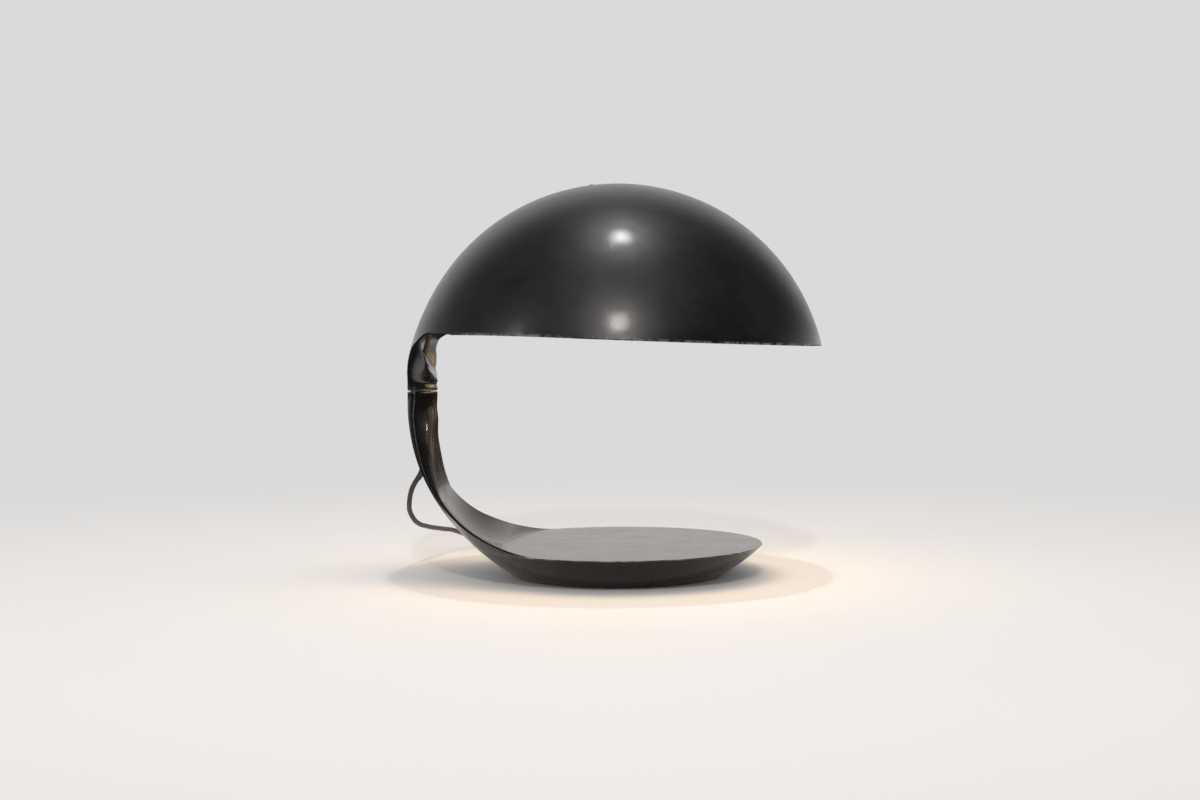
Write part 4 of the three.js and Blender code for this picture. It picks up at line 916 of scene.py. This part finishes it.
# Cords, and the pieces on them: switch, plug, tie and sleeves
cord_a = placed("cord_to_switch", cord_curve("cord_to_switch", first_cord))
cord_b = placed("cord_to_plug", cord_curve("cord_to_plug", second_cord))
for cord, covers in ((cord_a, ["cord_run_1"]), (cord_b, ["cord_run_2", "cord_coil", "cord_run_3"])):
    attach(cord, "foot")
    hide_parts(*covers)
    cord.data.materials.append(LOOKS["cord_rubber"])


RELIEF_R, RELIEF_END_R = 4.3, CORD_R + 0.45
RELIEF_RINGS, RINGS_START, RINGS_END = 13, 0.45, 0.97  # shares of its length
GROOVE = 0.35


def wave(turns):
    """Swings from 0 to 1 and back once in each turn."""
    return 0.5 - 0.5 * cos(tau * turns)


def relief_radius(share):
    """Tapered, with rings cut into the free end."""
    radius = RELIEF_R + (RELIEF_END_R - RELIEF_R) * smooth(0.35, 1, share)
    if RINGS_START < share < RINGS_END:
        radius -= GROOVE * wave((share - RINGS_START) * RELIEF_RINGS)
    return radius


def boot_radius(share):
    """A short sleeve with three grooves."""
    return 4.4 - 1.5 * share - GROOVE * wave(3 * min(share / 0.8, 1))


relief = fitting("relief_sleeve", tube(evenly(relief_line, 64), relief_radius, 32), "foot", "cord_rubber",
                 ["cord_relief"])
for k, (x, out) in enumerate(((LEFT_X, -1), (RIGHT_X, 1))):
    line = [Vector((x + out * (0.2 + i * 0.25), SWITCH.y, SWITCH_Z)) for i in range(28)]
    fitting(f"switch_boot_{k + 1}", tube(line, boot_radius, 32), "foot", "cord_rubber")

switch_spot = at(SWITCH.x, SWITCH.y, 0)
switch_plan = plate_outline(SWITCH_SIZE.x, SWITCH_SIZE.y, 8.2, 12)
switch_room = slab(plate_outline(30, 17, 1.5), 2.3, 12.3, 0.5, 0.5)
screw_xs = [-SWITCH_SIZE.x / 2 + 12, SWITCH_SIZE.x / 2 - 12]
holes = [rod(3, -1, 2.2, 32, at(x, 0, 0)) for x in screw_xs]
fitting("switch_case_low", slab(switch_plan, 0, SWITCH_Z - 0.1, 2.2, 0.3), "foot",
                         "black_plastic", ["switch_lower"], switch_spot, [switch_room] + holes)
rocker_frame = slab(plate_outline(26, 14.6, 2.4), SWITCH_SIZE.z - 0.7, SWITCH_SIZE.z + 1, 0.2, 0)
rocker_hole = slab(plate_outline(22.4, 11.2, 1), 11, SWITCH_SIZE.z + 1, 0, 0, 1)
switch_top = fitting("switch_case_top", slab(switch_plan, SWITCH_Z + 0.1, SWITCH_SIZE.z, 0.3, 4.2, 9), "foot",
                     "black_plastic", ["switch_upper"], switch_spot, [rocker_frame])
carve(switch_top, moved(switch_room, switch_spot))
carve(switch_top, moved(rocker_hole, switch_spot))
smooth_mesh(switch_top.data)
for k, x in enumerate(screw_xs):
    slotted(f"case_screw_{k + 1}", 2.6, 1.4, 1.3, 10.4, "foot", "steel",
                             [f"switch_screw_{k + 1}"], switch_spot @ at(x, 0, 1.9) @ HALF_TURN)
rocker_line = [(-10, -1.5), (10, -1.5)]
for k in range(41):
    x = 10 - k / 2
    groove = 0.22 * wave(x / 1.5) if 3.5 < abs(x) < 9.5 else 0
    rocker_line.append((x, 4.5 + 1.1 * (x / 10) ** 2 - groove))
rocker_face = moved(slab(rocker_line, -5, 5, 0.4, 0.4), UPRIGHT)
rocker_spot = at(SWITCH.x, SWITCH.y, SWITCH_SIZE.z - 4.5) @ turned(radians(7), "Y")
rocker_bore = rod(1.3, -8, 8, 24, UPRIGHT)
fitting("rocker_key", rocker_face, "rocker", "black_plastic", ["switch_rocker"], rocker_spot,
                         [rocker_bore])

# Plug: a flat body that narrows to a grooved sleeve
PLUG_STATIONS = [(-18, 24.6, 12.2, 3), (-17, 26, 13.6, 3.6), (-8, 26, 13.6, 3.8), (0, 19.6, 13, 5),
                 (8, 11.6, 11, 5), (14, 9.6, 9.6, 4.7), (18, 8.6, 8.6, 4.3)]
plug_rings = []
for k in range(73):
    y = k / 2 - PLUG_SIZE.y / 2
    width, height, corner = (between(PLUG_STATIONS, column, y) for column in (1, 2, 3))
    width -= 0.7 * wave((y + 5) / 2.6) if -5 < y < 8 else 0
    plug_rings.append([Vector((x, y, z + PLUG_Z))
                       for x, z in plate_outline(width, height, min(corner, height / 2 - 0.1))])
plug_spot = at(*PLUG)
on_plug = [fitting("plug_case", skin(plug_rings, True, True), "foot", "black_plastic", ["plug_body"],
                   plug_spot)]
pin_profile = [(0, -19)] + [(2 * sin(a), -17.6 - 1.4 * cos(a)) for a in
                            (k / 8 * pi / 2 for k in range(1, 9))] + [(2, -0.4), (1.7, 0), (0, 0)]
for k, side in enumerate((-1, 1)):
    spot = plug_spot @ at(side * 9.5, -18.2, PLUG_Z) @ turned(-pi / 2, "X")
    on_plug.append(fitting(f"plug_prong_{k + 1}", lathe(pin_profile, 48), "foot", "nickel",
                           [f"plug_pin_{k + 1}"], spot))
line = [Vector((PLUG.x, PLUG.y + 18.1 + i * 0.25, PLUG_Z)) for i in range(26)]
on_plug.append(fitting("plug_boot", tube(line, boot_radius, 32), "foot", "cord_rubber"))

# Tie: a band round all turns of the coil
TIE_T, TIE_GAP = 0.6, 0.4
tie_inner = COIL_R - (COIL_TURNS + 0.25) * COIL_PITCH - CORD_R - 2 * TIE_GAP - TIE_T
tie_outer = COIL_R + CORD_R + TIE_GAP + TIE_T
tie_top = COIL_TOP + CORD_R + TIE_GAP + TIE_T
tie_size = (tie_outer - tie_inner, tie_top)
tie_band = slab(plate_outline(*tie_size, 2.6), -3, 3, 0.2, 0.2)
tie_hole = slab(plate_outline(tie_size[0] - 2 * TIE_T, tie_size[1] - 2 * TIE_T, 2), -4, 4, 0, 0, 1)
tie_spot = (at(COIL_X, COIL_Y, 0) @ turned(-pi / 4)
            @ at((tie_outer + tie_inner) / 2, 0, tie_top / 2) @ UPRIGHT)
on_plug.append(fitting("tie_band", tie_band, "foot", "black_plastic", ["coil_tie"], tie_spot, [tie_hole]))


# The two shells
def mark(obj, name, share_at):
    """Stores a value from 0 to 1 at each corner."""
    values = obj.data.attributes.new(name, "FLOAT", "POINT")
    for corner, value in zip(obj.data.vertices, values.data):
        value.value = share_at(corner.co / MM)


HOOD_Z, POLISH_Z = 250, 225  # heights between which the polish of the neck fades


def shade_edge(p):
    over_rim = p.z - rim_at(p.x)
    seam = p.z - UPPER_BOTTOM
    return max(1 - abs(over_rim) / 3.5, 1 - seam / 3, 0) if p.x > -150 or seam < 3 else 0


def neck_share(p):
    """1 on the neck of the shade, which hands keep polished, fading into the hood."""
    return smooth(HOOD_Z, POLISH_Z, p.z)


def foot_edge(p):
    out = hypot(p.x, p.y)
    rim = 1 - hypot((out - RIM_R) / 2.5, (p.z - DECK_Z) / 2)
    seam = 1 - (LOWER_TOP - p.z) / 2.5
    return max(rim, seam if p.x < -150 else 0, 0)


def deck_share(p):
    """1 on the flat top of the dish, fading up the inside of the stem."""
    flat = smooth(2.5, 0.3, abs(p.z - DECK_Z)) if p.x > -140 else 0
    inside = smooth(1, 4, SPHERE - (p - Vector((0, 0, SPHERE_Z))).length)
    return max(flat, 0.8 * inside * smooth(110, 50, p.z))


ON_RIM = at(0, 0, SPHERE_Z) @ turned(RIM_TILT, "Y")
THIRDS = [turned(tau * k / 3) for k in range(3)]
BOSS_SPOTS = [ON_RIM @ third @ at(0, 0, CLIP_Z) @ ALONG_X for third in THIRDS]
IN_NECK, AT_SCREW = at(NECK_X, 0, 0), at(SCREW_X, 0, 0)
DOME_TOP = SPHERE_Z + sqrt(SPHERE ** 2 - SCREW_X ** 2)

shade_mesh = mesh_from("shade", *skin(upper_rings()))
shade = piece_from("shade_surface", shade_mesh, "shade", ["shade_shell"], LOOKS["resin"])
boss_outer = sqrt((SPHERE - WALL / 2) ** 2 - (CLIP_Z + 4) ** 2)
bosses = [rod(4, CLIP_FACE, boss_outer, 48, spot) for spot in BOSS_SPOTS]
seat_top = SPHERE_Z + sqrt(SPHERE ** 2 - (13 - SCREW_X) ** 2) - WALL * 0.4
bosses.append(rod(13, SEAT_Z, seat_top, 64, AT_SCREW))
carve(shade, joined(bosses), "UNION")
carve(shade, joined([
    moved(lathe([(0, DOME_TOP - 0.8), (2.6, DOME_TOP - 0.8), (3.2, DOME_TOP + 2), (0, DOME_TOP + 2)], 48),
          AT_SCREW),
    rod(7.2, SEAM_Z + 12.5, SEAM_Z + 35, 48, IN_NECK),
    rod(6.8, UPPER_BOTTOM - 1, SEAM_Z + 9.5, 48, IN_NECK),
]))
carve(shade, joined([
    rod(5.3, SEAM_Z + 9, SEAM_Z + 13, 48, IN_NECK),
    rod(1.8, SEAT_Z - 1, DOME_TOP, 32, AT_SCREW),
] + [rod(1.8, CLIP_FACE - 1, CLIP_FACE + 7, 24, spot) for spot in BOSS_SPOTS]))
smooth_mesh(shade.data)
mark(shade, "edge", shade_edge)
mark(shade, "neck", neck_share)

foot_mesh = mesh_from("foot", *skin(lower_rings()))
foot = piece_from("foot_surface", foot_mesh, "foot", ["lower_body"], FOOT_RESIN)
screw_turns = [third @ at(BOSS_CIRCLE, 0, 0) for third in THIRDS]
hollow = lathe([(0, -2), (PLATE_R + GAP, -2), (PLATE_R + GAP, PLATE_TOP + GAP), (CAVITY_R, PLATE_TOP + GAP),
                (CAVITY_R, CAVITY_TOP - 5), (CAVITY_R - 5, CAVITY_TOP), (0, CAVITY_TOP)], 128)
carve(foot, hollow)
carve(foot, joined([rod(12, BALLAST_TOP + GAP, CAVITY_TOP + 1, 64)]
                   + [rod(4.5, PLATE_TOP + GAP, CAVITY_TOP + 1, 32, spot) for spot in screw_turns]),
      "UNION")
carve(foot, joined([
    rod(8.3, SEAM_Z - 26.3, LOWER_TOP + 1, 48, IN_NECK),
    rod(1.8, LOWER_TOP - 8, LOWER_TOP + 1, 24, at(NECK_X - 10.4, 0, 0)),
    rod(3.3, BALLAST_TOP - 1, CAVITY_TOP + 2, 32),
] + [rod(2.2, PLATE_TOP - 1, PLATE_TOP + 16, 24, spot) for spot in screw_turns]))
carve(foot, rod(4.6, 78, SEAM_Z - 25.5, 48, IN_NECK))
smooth_mesh(foot.data)
mark(foot, "edge", foot_edge)
mark(foot, "deck", deck_share)

# Underside
holes = [rod(4.1, -1, 4, 32, spot) for spot in screw_turns]
felt = eased(disc(PLATE_R - 0.5, 0, 1.5), 0.6)
fitting("felt_disc", lathe(felt, 160), "foot", "felt", ["felt_pad"], cuts=holes)
holes = [rod(2.2, 1, 5, 24, spot) for spot in screw_turns]
plate = eased(disc(PLATE_R, PLATE_LOW, PLATE_TOP), 0.3)
fitting("base_disc", lathe(plate, 160), "foot", "steel", ["base_plate"], cuts=holes)
for k, spot in enumerate(screw_turns):
    slotted(f"base_screw_{k + 1}", 3.6, 1.0, 1.9, 13.7, "foot", "steel", [f"plate_screw_{k + 1}"],
            spot @ at(0, 0, 1.5) @ HALF_TURN)

# Diffuser with its clips and their screws
sheet = eased(disc(DIFFUSER_R, DIFFUSER_LOW, DIFFUSER_LOW + DIFFUSER_T), 1.1)
notch = moved(slab(plate_outline(40, 16, 3), DIFFUSER_LOW - 3, DIFFUSER_LOW + 6, 0, 0, 1),
              at(-DIFFUSER_R, 0, 0))
fitting("opal_sheet", lathe(sheet, 192), "shade", "opal", ["diffuser"], ON_RIM, [notch])
clip_x, clip_top = CLIP_FACE - GAP, DIFFUSER_LOW - GAP
clip_line = eased([(clip_x, CLIP_Z - 4.6), (clip_x, clip_top), (clip_x - 10, clip_top),
                   (clip_x - 10, clip_top - 1.2), (clip_x - 1.2, clip_top - 1.2),
                   (clip_x - 1.2, CLIP_Z - 4.6)], [0.3, 2, 0.4, 0.4, 0.9, 0.3], 6, False)
clip_hole = rod(1.8, clip_x - 4, clip_x + 2, 32, at(0, 0, CLIP_Z) @ ALONG_X)
for k, third in enumerate(THIRDS):
    on_boss = ON_RIM @ third
    fitting(f"clip_sheet_{k + 1}", moved(slab(clip_line, -5, 5, 0.25, 0.25), UPRIGHT), "shade", "nickel",
            [f"diffuser_clip_{k + 1}"], on_boss, [clip_hole])
    slotted(f"clip_stud_{k + 1}", 2.4, 1.6, 1.45, 7.8, "shade", "steel", [f"clip_screw_{k + 1}"],
            on_boss @ at(CLIP_FACE - 1.8, 0, CLIP_Z) @ turned(-pi / 2, "Y"))

# Bracket screw, with its head in a recess on top of the dome
slotted("dome_screw", 2.5, 1.8, 1.45, DOME_TOP - 0.5 - BULB_Z - 69, "shade", "steel", ["bracket_screw"],
        at(SCREW_X, 0, DOME_TOP - 0.5) @ turned(0.6))


# Lead under the dome
def under_dome(angle, inset):
    turn = radians(angle)
    return Vector((-(INNER - inset) * cos(turn), 0, SPHERE_Z + (INNER - inset) * sin(turn)))


lead_route = [
    (NECK_X, 0, SEAM_Z + 0.15), (NECK_X, 0, SEAM_Z + 12), (NECK_X, 0, SEAM_Z + 22),
    (NECK_X + 1.5, 0, SEAM_Z + 34), under_dome(15.5, 8), under_dome(21, 7.5), under_dome(27, 7.5),
    under_dome(33, 7.5), under_dome(40, 10.5), under_dome(48, 21.5), under_dome(55, 41.5),
    (SCREW_X - 52, 0, BULB_Z + 10), (SCREW_X - 32, 0, BULB_Z + 1), (SCREW_X - 18, 0, BULB_Z),
    (SCREW_X - 5.7, 0, BULB_Z),
]
fitting("lead_in_shade", tube(centripetal(lead_route, 8), lambda share: 2.4, 20), "shade", "cord_rubber",
        ["lead_upper"])


# Stage and light
BACKDROP = (0.70, 0.70, 0.70)
FLOOR = (0.80, 0.79, 0.775)
FILL = (0.75, 0.735, 0.73)
ROOM_LEFT, ROOM_RIGHT = (0.03, 0.03, 0.031), (0.012, 0.012, 0.012)  # what gloss sees to each side
WALL_AXIS = Vector((-0.1, 0.98, 0.15)).normalized()
FLOOR_FADE, PLINTH_EDGE = (0.36, 1.7), (0.27, 0.42)  # metres from the middle, for the camera and for gloss


def stage_look():
    """Pale floor that turns into the colour of the backdrop away from the object. In gloss it ends where a
    plinth would, and the rest of the room is dark."""
    look = Look("floor", FLOOR, 0.75, Specular_IOR_Level=0.2)
    away = look.node("VectorMath", {0: look.place}, operation="LENGTH").outputs["Value"]
    gloss = look.node("LightPath").outputs["Is Glossy Ray"]
    glow = look.node("Emission", {"Color": look.mix(gloss, BACKDROP, ROOM_RIGHT)})
    wide = look.ramp(away, *FLOOR_FADE, kind="SMOOTHERSTEP")
    near = look.times(look.ramp(away, *PLINTH_EDGE), gloss)
    shown = look.mix_shaders(look.reckon("MAXIMUM", wide, near), look.shader.outputs["BSDF"],
                             glow.outputs["Emission"])
    look.feed(look.tree.nodes["Material Output"].inputs["Surface"], shown)
    return look.material


def make_world():
    """Even and soft for diffuse light. The camera sees the pale backdrop. Gloss sees it low down behind the
    object and on the wall there, in a room that is dark elsewhere."""
    world = bpy.data.worlds.new("world")
    scene.world = world
    world.use_nodes = True
    sky = Nodes(world.node_tree)

    def soft_ramp(value, low, high):
        return sky.ramp(value, low, high, kind="SMOOTHSTEP")

    def glow(colour):
        return sky.node("Background", {"Color": colour}).outputs[0]

    direction = sky.node("TexCoord").outputs["Generated"]
    facing = sky.node("VectorMath", {0: direction, 1: WALL_AXIS}, operation="DOT_PRODUCT")
    x, y, z = sky.node("SeparateXYZ", {0: direction}).outputs
    low = sky.times(soft_ramp(z, 0.30, 0.04), soft_ramp(y, -0.25, 0.35))
    pale = sky.reckon("MAXIMUM", low, soft_ramp(facing.outputs["Value"], 0.6, 0.95))
    room = sky.mix(soft_ramp(x, -0.3, 0.9), ROOM_LEFT, ROOM_RIGHT)
    path = sky.node("LightPath").outputs
    gloss = sky.reckon("MAXIMUM", path["Is Glossy Ray"], path["Is Transmission Ray"])
    soft = sky.tree.nodes["Background"]
    sky.feed(soft.inputs["Color"], FILL)
    lit = sky.mix_shaders(gloss, soft.outputs[0], glow(sky.mix(pale, room, BACKDROP)))
    seen = sky.mix_shaders(path["Is Camera Ray"], lit, glow(BACKDROP))
    sky.feed(sky.tree.nodes["World Output"].inputs["Surface"], seen)


def make_floor():
    floor_mesh = bpy.data.meshes.new("floor")
    bm = bmesh.new()
    bmesh.ops.create_circle(bm, cap_ends=True, segments=96, radius=14)
    bm.to_mesh(floor_mesh)
    bm.free()
    floor_mesh.materials.append(stage_look())
    floor = placed("floor", floor_mesh)


def area_light(name, place, size, power, colour, aim=(0, 0, 0.2)):
    data = bpy.data.lights.new(name, "AREA")
    data.shape = "ELLIPSE"
    data.size, data.size_y = size
    data.energy = power
    data.color = colour
    light = placed(name, data)
    light.location = place
    light.rotation_euler = (Vector(aim) - Vector(place)).to_track_quat("-Z", "Y").to_euler()
    return light


make_world()
make_floor()
area_light("overhead", (0.07, 0.04, 2.8), (0.10, 0.15), 14, (0.96, 0.98, 1.0))
area_light("front", (0.075, -2.08, 1.80), (0.09, 0.26), 14.5, (1.0, 0.95, 0.92))
area_light("left", (-2.3, -1.4, 0.95), (0.12, 1.9), 6.5, (1.0, 1.0, 1.0))
under_sheet = (SPHERE_Z + DIFFUSER_LOW - 3) * MM
lit = area_light("under_sheet", (0, 0, under_sheet), (0.12, 0.12), 0.10, (1.0, 0.62, 0.32), (0, 0, 0))
lit.visible_camera = False
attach(lit, "shade")

scene.view_settings.view_transform = "Standard"

bpy.context.view_layer.update()
